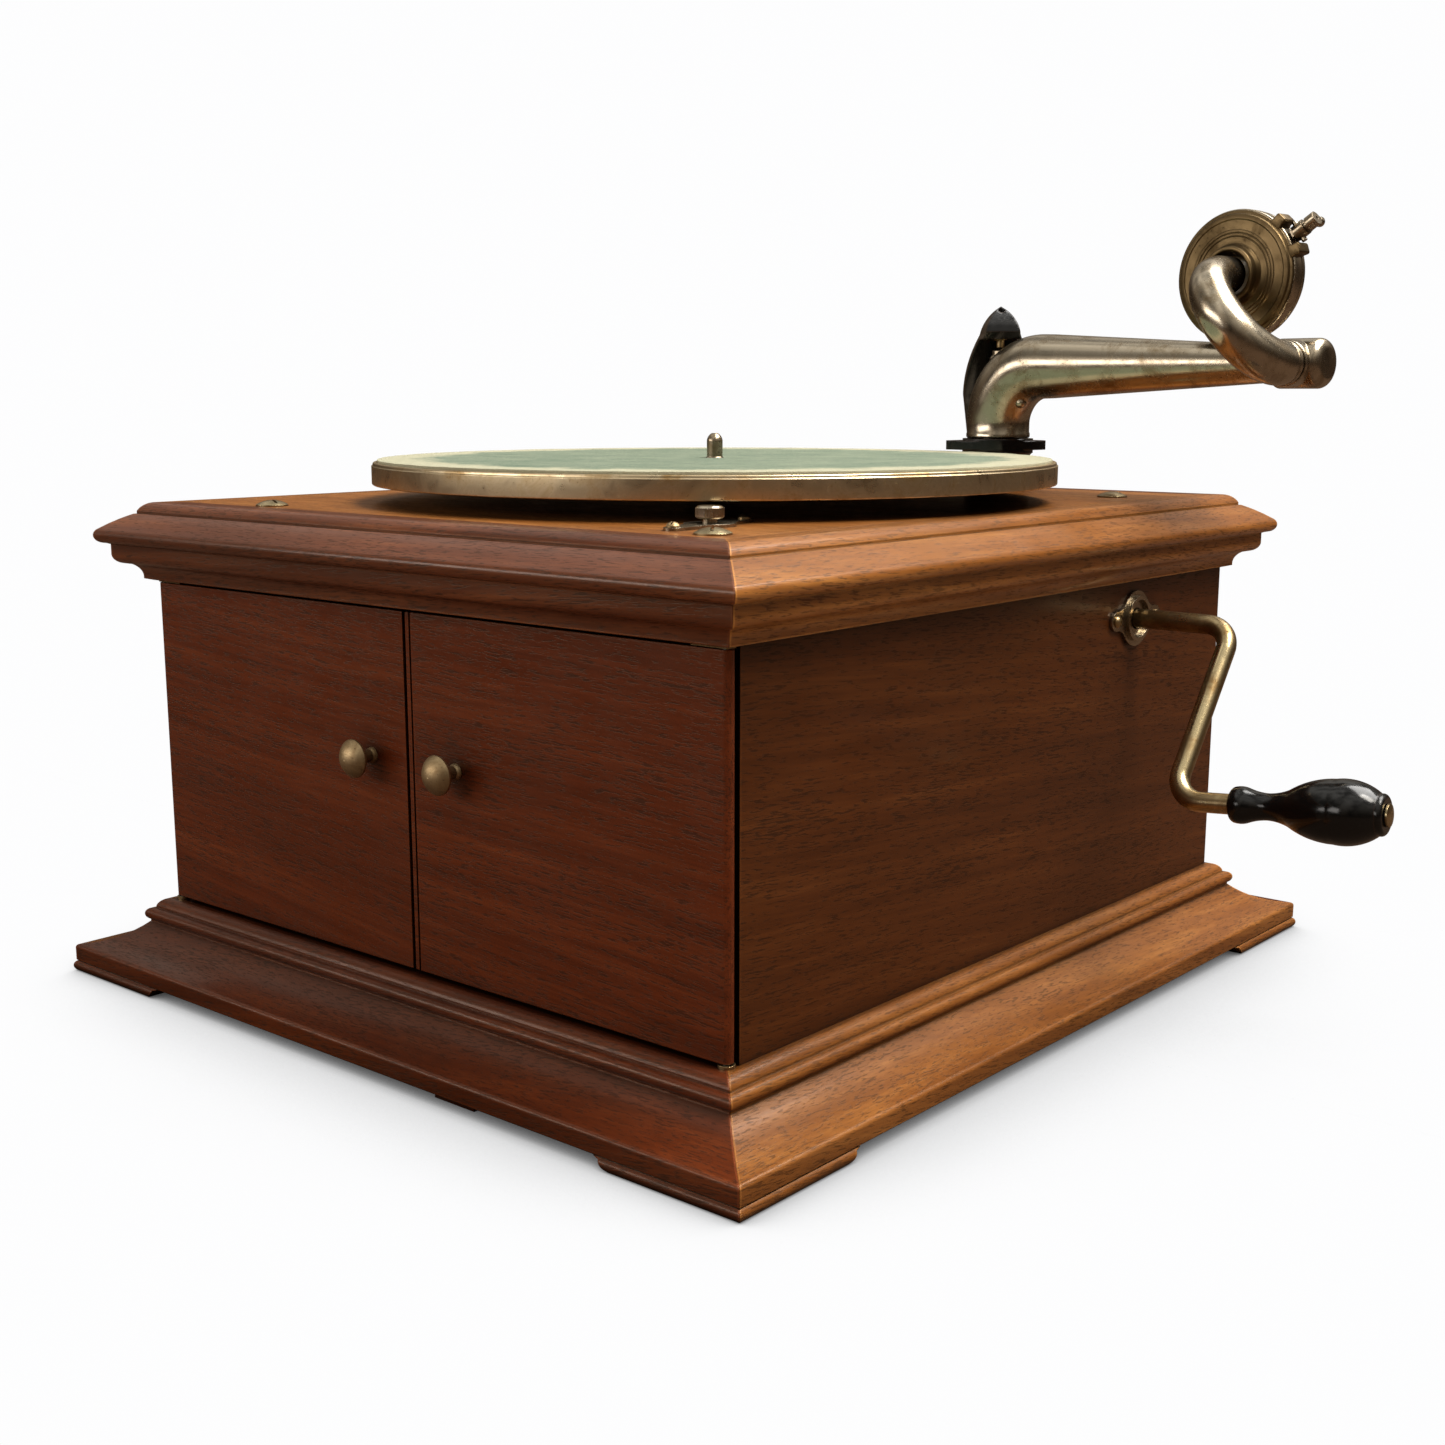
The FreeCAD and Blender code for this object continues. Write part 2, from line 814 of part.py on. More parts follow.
def louvre_slats():
    """Three tilted slats across the horn mouth."""
    slats = []
    half = S["mouth_half_width"] - 0.2
    front = -HALF_D + PANEL + 1.6
    step = (S["horn_top"] - S["horn_bottom"]) / 4
    for index in range(1, 4):
        height = S["horn_bottom"] + index * step
        slat = prism(f"slat_{index}", "YZ_Plane", [
            (front, height - 4.0),
            (front + 13, height + 2.0),
            (front + 13, height + 5.0),
            (front, height - 1.0),
        ], -half, 2 * half)
        slats.append(slat)
    return keep(group("louvre_slats", slats), "louvre_slats")


def horn_elbow():
    """The cast pipe that carries the sound from the tone arm down into the horn."""
    body = new_body("horn_elbow")
    middle = (S["horn_bottom"] + S["horn_top"]) / 2
    bend = 26.0
    start = S["throat_place"] - S["arm_place_y"]
    top = S["panel_top"]
    outer = 15.8
    for kind, radius, extra in (("AdditivePipe", outer, 0), ("SubtractivePipe", 12.6, 1)):
        path = new_sketch(body, "YZ_Plane")
        draw(path, [
            (start - extra, middle),
            (-bend, middle),
            (0, middle + bend, bend, 1),
            (0, top + extra),
        ], closed=False)
        ring = new_sketch(body, "XZ_Plane", -(start - extra))
        circle(ring, 0, middle, radius)
        pipe = body.newObject("PartDesign::" + kind, "horn_elbow" + kind)
        pipe.Profile = ring
        pipe.Spine = (path, ["Edge1", "Edge2", "Edge3"])
    face = new_sketch(body, "XZ_Plane", -start)
    draw(face, rectangle(-20, middle - 20, 20, middle + 20))
    circle(face, 0, middle, 12.6)
    add_pad(body, face, 3, downward=True)
    return keep(place(body, S["arm_place_x"], S["arm_place_y"], 0), "horn_elbow")


# ---------------------------------------------------------------- turntable

def platter():
    """A pressed steel disc with a rolled rim, a dished underside and a boss."""
    radius = S["platter_radius"]
    top = S["platter_top"]
    rim = top - S["platter_rim_height"]
    under = top - 2.2
    boss = rim - 3.0
    bore = S["shaft_radius"]
    body = turned("platter", [
        (bore, boss),
        (13, boss),
        (15, under),
        (radius - 6, under),
        (radius - 5, rim + 1),
        (radius - 4, rim),
        (radius - 1, rim),
        (radius, rim + 1, 1.0, 1),
        (radius, top - 2.0),
        (radius - 2.0, top, 2.0, 1),
        (bore, top),
    ])
    return keep(place(body, S["spindle_place_x"], S["spindle_place_y"], 0), "platter")


def felt():
    top = S["platter_top"]
    radius = S["platter_radius"] - 2.6
    body = turned("turntable_felt", [
        (S["spindle_radius"] + 0.6, top),
        (radius, top),
        (radius, top + S["felt_thick"]),
        (S["spindle_radius"] + 0.6, top + S["felt_thick"]),
    ])
    return keep(place(body, S["spindle_place_x"], S["spindle_place_y"], 0), "turntable_felt")


SPINDLE_FOOT = 148.0
SPINDLE_DOME = 3.4


def spindle():
    """The record spindle: domed tip, shoulder at the felt, long shaft and its lantern pinion."""
    radius = S["spindle_radius"]
    tip = S["spindle_tip"]
    shaft = S["shaft_radius"]
    seat = S["platter_top"] + S["felt_thick"]
    body = turned("spindle", [
        (0, SPINDLE_FOOT),
        (shaft - 0.6, SPINDLE_FOOT),
        (shaft, SPINDLE_FOOT + 0.6),
        (shaft, seat - 0.1),
        (radius, seat + 0.3),
        (radius, tip - SPINDLE_DOME),
        (1.3, tip, 4.2, 1),
        (0, tip),
    ])
    pinion_start = SECOND[1] + S["train_module"] * S["crown_teeth"] / 2 - 3.0
    phase = 180.0 / DRIVING_SIZES["small_pinion_teeth"]
    add_gear(body, S["train_module"], S["small_pinion_teeth"], pinion_start, 6.0, phase)
    return keep(place(body, S["spindle_place_x"], S["spindle_place_y"], 0), "spindle")


def governor_wheel():
    """The brass wheel on the spindle whose slanted teeth drive the governor worm."""
    module = S["train_module"]
    teeth = S["governor_wheel_teeth"]
    body = new_body("governor_wheel")
    width = 5.0
    low = S["governor_height"] - width / 2
    disc = new_sketch(body, "XY_Plane", low)
    rim = module * teeth / 2 - 1.0
    circle(disc, 0, 0, rim)
    circle(disc, 0, 0, S["shaft_radius"])
    add_pad(body, disc, width)
    # Each tooth leans with the worm's thread, drawn on the rim's own side.
    side = new_sketch(body, "XZ_Plane", rim - 0.8)
    lean = 0.22 * width
    middle = S["governor_height"]
    draw(side, [
        (-0.45 - lean, middle - width / 2),
        (0.45 - lean, middle - width / 2),
        (0.45 + lean, middle + width / 2),
        (-0.45 + lean, middle + width / 2),
    ])
    pad = add_pad(body, side, 1.8)
    pattern = body.newObject("PartDesign::PolarPattern", "governor_wheelTeeth")
    pattern.Originals = [pad]
    pattern.Axis = (disc, ["N_Axis"])
    pattern.Angle = 360.0
    pattern.Occurrences = DRIVING_SIZES["governor_wheel_teeth"]
    bind(pattern, "Occurrences", teeth)
    body.Tip = pattern
    return keep(place(body, S["spindle_place_x"], S["spindle_place_y"], 0), "governor_wheel")


# ---------------------------------------------------------------- motor

def line_angle(start, finish):
    """Direction from one shaft to another, in degrees from +Y towards +Z."""
    return math.degrees(math.atan2(float(finish[1] - start[1]), float(finish[0] - start[0])))


def half_tooth(teeth_name):
    return 180.0 / DRIVING_SIZES[teeth_name]


def on_shaft(body, shaft):
    """Lay a body drawn along local Z onto one of the shafts that run along X."""
    return place(body, 0, shaft[0], shaft[1], ALONG_X)


JOURNAL = 2.0
SPINDLE_BRACKET_END = 14.5


def bedplate():
    """The cast plate under the motor board, with its bearing lugs and spindle bush."""
    top = S["panel_top"]
    low = S["bedplate_bottom"]
    spindle_x = S["spindle_place_x"]
    spindle_y = S["spindle_place_y"]
    body = new_body("bedplate")
    plate = new_sketch(body, "XY_Plane", low)
    draw(plate, rectangle(-66, -38, 72, 112))
    add_pad(body, plate, top - low)
    arm = new_sketch(body, "XY_Plane", low)
    draw(arm, rectangle(44, -90, 56, -36))
    add_pad(body, arm, top - low)
    bush = new_sketch(body, "XY_Plane", low)
    circle(bush, spindle_x, spindle_y, 8.0)
    add_pad(body, bush, DECK - low - 1)
    lever_post = new_sketch(body, "XY_Plane", S["governor_height"] - 6)
    circle(lever_post, *LEVER_PIVOT, JOURNAL)
    add_pad(body, lever_post, low - S["governor_height"] + 8)
    lever_head = new_sketch(body, "XY_Plane", S["governor_height"] - 7)
    circle(lever_head, *LEVER_PIVOT, 3.5)
    add_pad(body, lever_head, 2)
    lugs = (
        # x of the lug, shaft it carries, half width, journal radius
        (42.0, SECOND, 5.0, JOURNAL),
        (-52.0, GOVERNOR, 4.5, 1.5),
        (38.0, GOVERNOR, 4.5, 1.5),
    )
    for x, shaft, half, journal in lugs:
        lug = new_sketch(body, "YZ_Plane", x)
        draw(lug, rectangle(shaft[0] - half, shaft[1] - half, shaft[0] + half, low + 1))
        circle(lug, shaft[0], shaft[1], journal + PLAY)
        add_pad(body, lug, 4)
    drill(body, "XY_Plane", spindle_x, spindle_y, S["shaft_radius"] + PLAY)
    return keep(body, "bedplate")


LEVER_PIVOT = (50.0, -83.0)


def cheek(label, x):
    """A side plate of the motor, bored for the shafts that it carries."""
    thick = S["cheek_thick"]
    low = S["horn_top"] + 14
    body = new_body(label)
    face = new_sketch(body, "YZ_Plane", x)
    draw(face, [
        (-18, low + 14),
        (-4, low),
        (96, low + 6),
        (110, low + 22),
        (110, S["bedplate_bottom"]),
        (-18, S["bedplate_bottom"]),
    ])
    holes = [(WINDING, 4.0), (ARBOR, 3.0), (FIRST, JOURNAL)]
    if label == "right_cheek":
        holes.append((SECOND, JOURNAL))
    for shaft, radius in holes:
        circle(face, shaft[0], shaft[1], radius + PLAY)
    add_pad(body, face, thick)
    if label == "left_cheek":
        # The step bearing under the spindle is a shelf cast on the left cheek.
        shelf = new_sketch(body, "YZ_Plane", x)
        half = 6.0
        middle = S["spindle_place_y"]
        draw(shelf, rectangle(middle - half, SPINDLE_FOOT - 6, middle + half, SPINDLE_FOOT + 4))
        add_pad(body, shelf, SPINDLE_BRACKET_END - x)
        step = circle(
            new_sketch(body, "XY_Plane", SPINDLE_FOOT + 4),
            S["spindle_place_x"],
            middle,
            S["shaft_radius"] + PLAY,
        )
        pocket = body.newObject("PartDesign::Pocket", "left_cheekStep")
        pocket.Profile = step
        pocket.Length = 4.1
    return keep(body, label)


def shaft_outline(start, end, radius, journal, left_bearing, right_bearing):
    """Half outline of a plain shaft stepped down where it passes its two bearings."""
    shoulder = 0.2
    inner_left = left_bearing + S["cheek_thick"] + shoulder
    inner_right = right_bearing - shoulder
    return [
        (0, start),
        (journal, start),
        (journal, inner_left),
        (radius, inner_left),
        (radius, inner_right),
        (journal, inner_right),
        (journal, end),
        (0, end),
    ]


BEYOND = 0.6


def winding_shaft():
    """The shaft that the crank plugs into, with the pinion that winds the spring."""
    left = S["left_cheek"]
    socket_start = 112.0
    socket_end = 140.0
    body = turned("winding_shaft", [
        (0, left - BEYOND),
        (4.0, left - BEYOND),
        (4.0, socket_start),
        (7.5, socket_start),
        (7.5, socket_end),
        (S["crank_rod_radius"] + PLAY, socket_end),
        (S["crank_rod_radius"] + PLAY, socket_start + 6),
        (0, socket_start + 6),
    ])
    phase = half_tooth("winding_pinion_teeth")
    add_gear(body, S["winding_module"], S["winding_pinion_teeth"], 46, 6, phase)
    return keep(on_shaft(body, WINDING), "winding_shaft")


def spring_arbor():
    """The arbor inside the barrel, carrying the wheel that the crank turns."""
    left = S["left_cheek"]
    right = S["right_cheek"]
    end = right + S["cheek_thick"] + BEYOND
    body = turned("spring_arbor", shaft_outline(left - BEYOND, end, 5.0, 3.0, left, right))
    add_gear(body, S["winding_module"], S["arbor_gear_teeth"], 46, 6, 0.0)
    return keep(on_shaft(body, ARBOR), "spring_arbor")


DRUM_START = -39.0
DRUM_END = 20.0
DRUM_WALL = 1.6


def spring_barrel():
    """The drum that holds the mainspring, with the great wheel on its left end."""
    outer = S["barrel_drum_radius"]
    bore = 5.0 + PLAY
    body = turned("spring_barrel", [
        (bore, DRUM_START),
        (outer, DRUM_START),
        (outer, DRUM_END),
        (bore, DRUM_END),
        (bore, DRUM_END - DRUM_WALL),
        (outer - DRUM_WALL, DRUM_END - DRUM_WALL),
        (outer - DRUM_WALL, DRUM_START + DRUM_WALL),
        (bore, DRUM_START + DRUM_WALL),
    ])
    phase = line_angle(ARBOR, FIRST)
    add_gear(body, S["barrel_module"], S["barrel_teeth"], DRUM_START - 6, 6.4, phase)
    hole = circle(new_sketch(body, "XY_Plane", DRUM_START + DRUM_WALL / 2), 0, 0, bore)
    pocket = body.newObject("PartDesign::Pocket", "spring_barrelBore")
    pocket.Profile = hole
    pocket.Length = 8
    return keep(on_shaft(body, ARBOR), "spring_barrel")


def mainspring():
    """The wound steel ribbon: half-turns whose centres alternate, as a flat spiral."""
    ribbon = 0.7
    pitch = 2.0
    inner = 6.0
    half_turns = 2 * int((float(S["barrel_drum_radius"]) - DRUM_WALL - inner - 1.0) / pitch)
    outside = []
    inside = []
    for index in range(half_turns):
        side = 1 if index % 2 == 0 else -1
        centre = 0.0 if index % 2 == 0 else pitch / 2
        for edges, extra in ((inside, 0.0), (outside, ribbon)):
            radius = inner + extra + index * pitch / 2
            middle = Vector(centre, side * radius, 0)
            start = Vector(centre + side * radius, 0, 0)
            finish = Vector(centre - side * radius, 0, 0)
            edges.append(Part.Arc(start, middle, finish).toShape())
    first = Part.makeLine(inside[0].Vertexes[0].Point, outside[0].Vertexes[0].Point)
    last = Part.makeLine(inside[-1].Vertexes[-1].Point, outside[-1].Vertexes[-1].Point)
    edges = [first] + inside + [last] + outside
    ribbon_wire = Part.Wire(Part.__sortEdges__(edges))
    length = DRUM_END - DRUM_START - 2 * DRUM_WALL - 2
    item = doc.addObject("Part::Feature", "mainspring")
    item.Shape = Part.Face(ribbon_wire).extrude(Vector(0, 0, length))
    lifted = place(item, DRUM_START + DRUM_WALL + 1, ARBOR[0], ARBOR[1], ALONG_X)
    return keep(lifted, "mainspring")


def intermediate_gear():
    """First shaft of the train: driven by the great wheel, driving the crown shaft."""
    left = S["left_cheek"]
    right = S["right_cheek"]
    end = right + S["cheek_thick"] + BEYOND
    body = turned("intermediate_gear", shaft_outline(left - BEYOND, end, 3.0, JOURNAL, left, right))
    phase = line_angle(FIRST, ARBOR) + half_tooth("small_pinion_teeth")
    add_gear(body, S["barrel_module"], S["small_pinion_teeth"], DRUM_START - 7, 8, phase)
    add_gear(body, S["train_module"], S["first_wheel_teeth"], 24, 4, line_angle(FIRST, SECOND))
    return keep(on_shaft(body, FIRST), "intermediate_gear")


def crown_gear():
    """Second shaft: a pinion, and a crown wheel whose side teeth drive the spindle."""
    module = S["train_module"]
    right = S["right_cheek"]
    end = right + S["cheek_thick"] + BEYOND
    pitch_radius = module * S["crown_teeth"] / 2
    face = S["spindle_place_x"] + 7.5
    body = turned("crown_gear", [
        (0, face),
        (pitch_radius + 2, face),
        (pitch_radius + 2, face + 2.5),
        (3.0, face + 2.5),
        (3.0, 41.8),
        (JOURNAL, 41.8),
        (JOURNAL, 46.2),
        (3.0, 46.2),
        (3.0, right - 0.2),
        (JOURNAL, right - 0.2),
        (JOURNAL, end),
        (0, end),
    ])
    phase = line_angle(SECOND, FIRST) + half_tooth("small_pinion_teeth")
    add_gear(body, module, S["small_pinion_teeth"], 23.5, 5, phase)
    tooth = new_sketch(body, "XY_Plane", face + 0.2)
    draw(tooth, rectangle(-0.5, pitch_radius - 2, 0.5, pitch_radius + 2))
    pad = add_pad(body, tooth, 2.5, downward=True)
    pattern = body.newObject("PartDesign::PolarPattern", "crown_gearCrown")
    pattern.Originals = [pad]
    pattern.Axis = (tooth, ["N_Axis"])
    pattern.Angle = 360.0
    pattern.Occurrences = DRIVING_SIZES["crown_teeth"]
    bind(pattern, "Occurrences", S["crown_teeth"])
    body.Tip = pattern
    return keep(on_shaft(body, SECOND), "crown_gear")


COLLAR = -42.0
DISC = -12.0
WORM_START = 3.0
WORM_LENGTH = 14.0


def governor_shaft():
    """The governor spindle: fixed collar, and the three-start worm that turns it."""
    outline = [
        (0, -52.4),
        (1.5, -52.4),
        (1.5, -47.8),
        (2.2, -47.8),
        (2.2, COLLAR),
        (5.0, COLLAR),
        (5.0, COLLAR + 4),
        (2.2, COLLAR + 4),
        (2.2, WORM_START),
        (2.9, WORM_START),
        (2.9, WORM_START + WORM_LENGTH),
        (2.2, WORM_START + WORM_LENGTH),
        (2.2, 37.8),
        (1.5, 37.8),
        (1.5, 42.4),
        (0, 42.4),
    ]
    core = turned("governor_core", outline)
    starts = DRIVING_SIZES["worm_starts"]
    lead = math.pi * DRIVING_SIZES["train_module"] * starts
    inner = 2.4
    outer = float(S["worm_radius"]) + 0.6
    half = 0.45
    helix = Part.makeHelix(lead, WORM_LENGTH, inner)
    ridge = Part.makePolygon([
        Vector(inner, 0, -half),
        Vector(outer, 0, -half * 0.7),
        Vector(outer, 0, half * 0.7),
        Vector(inner, 0, half),
        Vector(inner, 0, -half),
    ])
    thread = Part.Wire(helix).makePipeShell([ridge], True, True)
    threads = doc.addObject("Part::Feature", "worm_threads")
    # A gap between threads faces the governor wheel at the spindle's own x.
    gap_x = float(S["spindle_place_x"]) - WORM_START
    turn_at_wheel = 180.0 / starts - 360.0 * gap_x / lead
    copies = []
    for start in range(starts):
        copy = thread.copy()
        copy.rotate(Vector(0, 0, 0), Vector(0, 0, 1), turn_at_wheel + start * 360.0 / starts)
        copy.translate(Vector(0, 0, WORM_START))
        copies.append(copy)
    threads.Shape = Part.makeCompound(copies)
    whole = fuse("governor_shaft", [core, threads])
    whole.Refine = False
    return keep(on_shaft(whole, GOVERNOR), "governor_shaft")


def around_governor(label, maker):
    """Three copies of a piece spaced evenly round the governor shaft."""
    pieces = []
    for index in range(3):
        piece = maker(f"{label}_{index + 1}")
        spin = turn_z(120.0 * index + 90.0)
        place(piece, 0, GOVERNOR[0], GOVERNOR[1], ALONG_X * spin)
        pieces.append(piece)
    return keep(group(label, pieces), label)


def governor_spring(name):
    """A bowed leaf spring, from the fixed collar to the sliding disc."""
    middle = (COLLAR + DISC) / 2 + 1
    body = new_body(name)
    sketch = new_sketch(body, "XZ_Plane")
    draw(sketch, [
        (5.1, COLLAR + 0.5, 44.6, 1),
        (5.5, COLLAR + 0.5),
        (8.0, middle, 45.0, -1),
        (5.5, DISC - 0.5, 45.0, -1),
        (5.1, DISC - 0.5),
        (7.6, middle, 44.6, 1),
    ])
    add_pad(body, sketch, 4.0, both_ways=True)
    return body


def governor_weight(name):
    """A round lead weight riveted to the middle of a spring."""
    middle = (COLLAR + DISC) / 2 + 1
    body = new_body(name)
    sketch = new_sketch(body, "YZ_Plane", 8.05)
    circle(sketch, 0, middle, 3.8)
    add_pad(body, sketch, 4.2)
    return body


def governor_disc():
    body = turned("governor_disc", [
        (2.2 + PLAY, DISC - 4),
        (5.0, DISC - 4),
        (5.0, DISC),
        (11.0, DISC),
        (11.0, DISC + 1.6),
        (2.2 + PLAY, DISC + 1.6),
    ])
    return keep(on_shaft(body, GOVERNOR), "governor_disc")


def speed_lever():
    """The lever that carries a friction pad from the deck screw to the governor disc."""
    pad_x = DISC + 1.6 + 0.4
    pad_y = GOVERNOR[0] - 8.0
    low = S["governor_height"] - 3
    cam_x = S["regulator_x"]
    cam_y = S["regulator_y"]
    body = new_body("speed_lever")
    plan = new_sketch(body, "XY_Plane", low)
    draw(plan, [
        (pad_x, pad_y + 2.5),
        (pad_x, pad_y - 2.5),
        (pad_x + 5, pad_y - 8),
        (LEVER_PIVOT[0] - 4, LEVER_PIVOT[1] - 5),
        (cam_x - 12, cam_y - 2),
        (cam_x - 5.2, cam_y - 2),
        (cam_x - 5.2, cam_y + 5),
        (LEVER_PIVOT[0] + 3, LEVER_PIVOT[1] + 6),
        (pad_x + 9, pad_y - 4.5),
        (pad_x + 4, pad_y + 2.5),
    ])
    add_pad(body, plan, 5)
    drill(body, "XY_Plane", *LEVER_PIVOT, JOURNAL + PLAY)
    return keep(body, "speed_lever")


# ---------------------------------------------------------------- crank

def crank_frame():
    """The crank's own frame at rest: local X is the winding axis, local -Z the throw."""
    angle = -DRIVING_SIZES["crank_rest_angle"]
    return Rotation(Vector(1, 0, 0), angle)


def grip_point(x):
    """A point of the tilted grip axis, in the crank's own frame."""
    tilt = math.radians(DRIVING_SIZES["crank_grip_tilt"])
    bend = DRIVING_SIZES["crank_bend"]
    start_x = DRIVING_SIZES["crank_reach"] + bend + bend * math.sin(tilt)
    start_z = -DRIVING_SIZES["crank_throw"] + bend - bend * math.cos(tilt)
    return Vector(x, 0, start_z + (x - start_x) * math.tan(tilt))


def crank_rod():
    """The bent steel crank with a turned-down pin on which the grip spins."""
    body = new_body("crank_bar")
    start = 119.0
    reach = S["crank_reach"]
    bend = S["crank_bend"]
    throw = S["crank_throw"]
    tilt = S["crank_grip_tilt"]
    grip = S["grip_start"]
    turned_x = reach + bend + bend * sine(tilt)
    turned_z = bend - throw - bend * cosine(tilt)
    path = new_sketch(body, "XZ_Plane")
    draw(path, [
        (start, 0),
        (reach - bend, 0),
        (reach, -bend, bend, -1),
        (reach, bend - throw),
        (turned_x, turned_z, bend, 1),
        (grip - 0.6, turned_z + (grip - 0.6 - turned_x) * sine(tilt) / cosine(tilt)),
    ], closed=False)
    ring = circle(new_sketch(body, "YZ_Plane", start), 0, 0, S["crank_rod_radius"])
    pipe = body.newObject("PartDesign::AdditivePipe", "crank_barPipe")
    pipe.Profile = ring
    pipe.Spine = (path, [f"Edge{number}" for number in range(1, 6)])
    frame = crank_frame()
    body_place = place(body, 0, S["crank_place_y"], S["crank_height"], frame)
    pin = turned("grip_pin", [
        (0, -0.8),
        (2.8, -0.8),
        (2.8, S["grip_length"] + 0.4),
        (4.6, S["grip_length"] + 0.4),
        (4.6, S["grip_length"] + 1.2),
        (0, S["grip_length"] + 2.0, dome(4.6, 0.8), 1),
    ])
    set_on_grip(pin)
    return keep(fuse("crank_rod", [body_place, pin]), "crank_rod")


def set_on_grip(item):
    """Place a piece drawn along local Z onto the grip's tilted axis."""
    frame = crank_frame()
    tilt = DRIVING_SIZES["crank_grip_tilt"]
    start = frame.multVec(grip_point(DRIVING_SIZES["grip_start"]))
    centre = Vector(0, DRIVING_SIZES["crank_place_y"], DRIVING_SIZES["crank_height"])
    item.Placement = Placement(centre + start, frame * Rotation(Vector(0, 1, 0), 90 - tilt))
    return item


def crank_grip():
    """The turned black wooden grip, free to spin on the crank's pin."""
    bore = 2.8 + PLAY
    length = S["grip_length"]
    body = turned("crank_grip", [
        (bore, 0),
        (5.6, 0),
        (7.5, 2.2, 2.4, 1),
        (7.0, 7.4, 9.0, 1),
        (5.5, 15.0, 24.0, -1),
        (7.6, 24.0, 22.0, -1),
        (13.0, 42.0, 34.0, 1),
        (8.4, length - 2.6, 22.0, 1),
        (8.4, length - 1.6),
        (6.8, length, 1.8, 1),
        (bore, length),
    ])
    return keep(set_on_grip(body), "crank_grip")


def escutcheon():
    """The lobed nickel plate round the crank hole, with a raised dished ring."""
    y = S["crank_place_y"]
    z = S["crank_height"]
    swell = 12.4
    edge_y = swell * math.cos(math.radians(36))
    edge_z = swell * math.sin(math.radians(36))
    body = new_body("escutcheon")
    plate = new_sketch(body, "YZ_Plane", HALF_W)
    ear = ESCUTCHEON_SCREW_REACH
    draw(plate, [
        (y + ear, z - 4.4),
        (y + ear + 4.8, z, 4.9, 1),
        (y + ear, z + 4.4, 4.9, 1),
        (y + edge_y, z + edge_z, 9.0, -1),
        (y, z + swell, swell, 1),
        (y - edge_y, z + edge_z, swell, 1),
        (y - ear, z + 4.4, 9.0, -1),
        (y - ear - 4.8, z, 4.9, 1),
        (y - ear, z - 4.4, 4.9, 1),
        (y - edge_y, z - edge_z, 9.0, -1),
        (y, z - swell, swell, 1),
        (y + edge_y, z - edge_z, swell, 1),
    ])
    add_pad(body, plate, 1.6)
    ring = new_sketch(body, "YZ_Plane", HALF_W)
    circle(ring, y, z, 10.2)
    circle(ring, y, z, 8.4)
    add_pad(body, ring, 3.4)
    drill(body, "YZ_Plane", y, z, S["crank_rod_radius"] + 0.5)
    for side in (-1, 1):
        drill(body, "YZ_Plane", y + side * ear, z, 1.5)
    return keep(body, "escutcheon")


ESCUTCHEON_SCREW_REACH = 17.6


# ---------------------------------------------------------------- tone arm

def arm_frame():
    return turn_z(DRIVING_SIZES["arm_rest_angle"])


def neck_spin():
    """Angle of the soundbox hub about the neck joint, from the arm's own direction."""
    return math.degrees(math.atan2(DRIVING_SIZES["hub_rise"], -DRIVING_SIZES["hub_back"]))


def neck_span():
    return root(S["hub_rise"] * S["hub_rise"] + S["hub_back"] * S["hub_back"])


def set_on_neck(item, spin):
    """Place a piece drawn about the neck joint: local Z points out of the joint."""
    frame = arm_frame()
    base = Vector(DRIVING_SIZES["arm_place_x"], DRIVING_SIZES["arm_place_y"], 0)
    joint = Vector(
        DRIVING_SIZES["arm_reach"], -DRIVING_SIZES["joint_offset"], DRIVING_SIZES["arm_height"]
    )
    item.Placement = Placement(base + frame.multVec(joint), frame * FACING_FRONT * turn_z(spin))
    return item


def set_on_soundbox(item, spin):
    """Place a piece drawn about the soundbox axis; spin turns its local X."""
    set_on_neck(item, neck_spin())
    hub = item.Placement.multVec(Vector(float(neck_span()), 0, 0))
    item.Placement = Placement(hub, item.Placement.Rotation * turn_z(spin))
    return item


FLANGE_TOP = 240.0


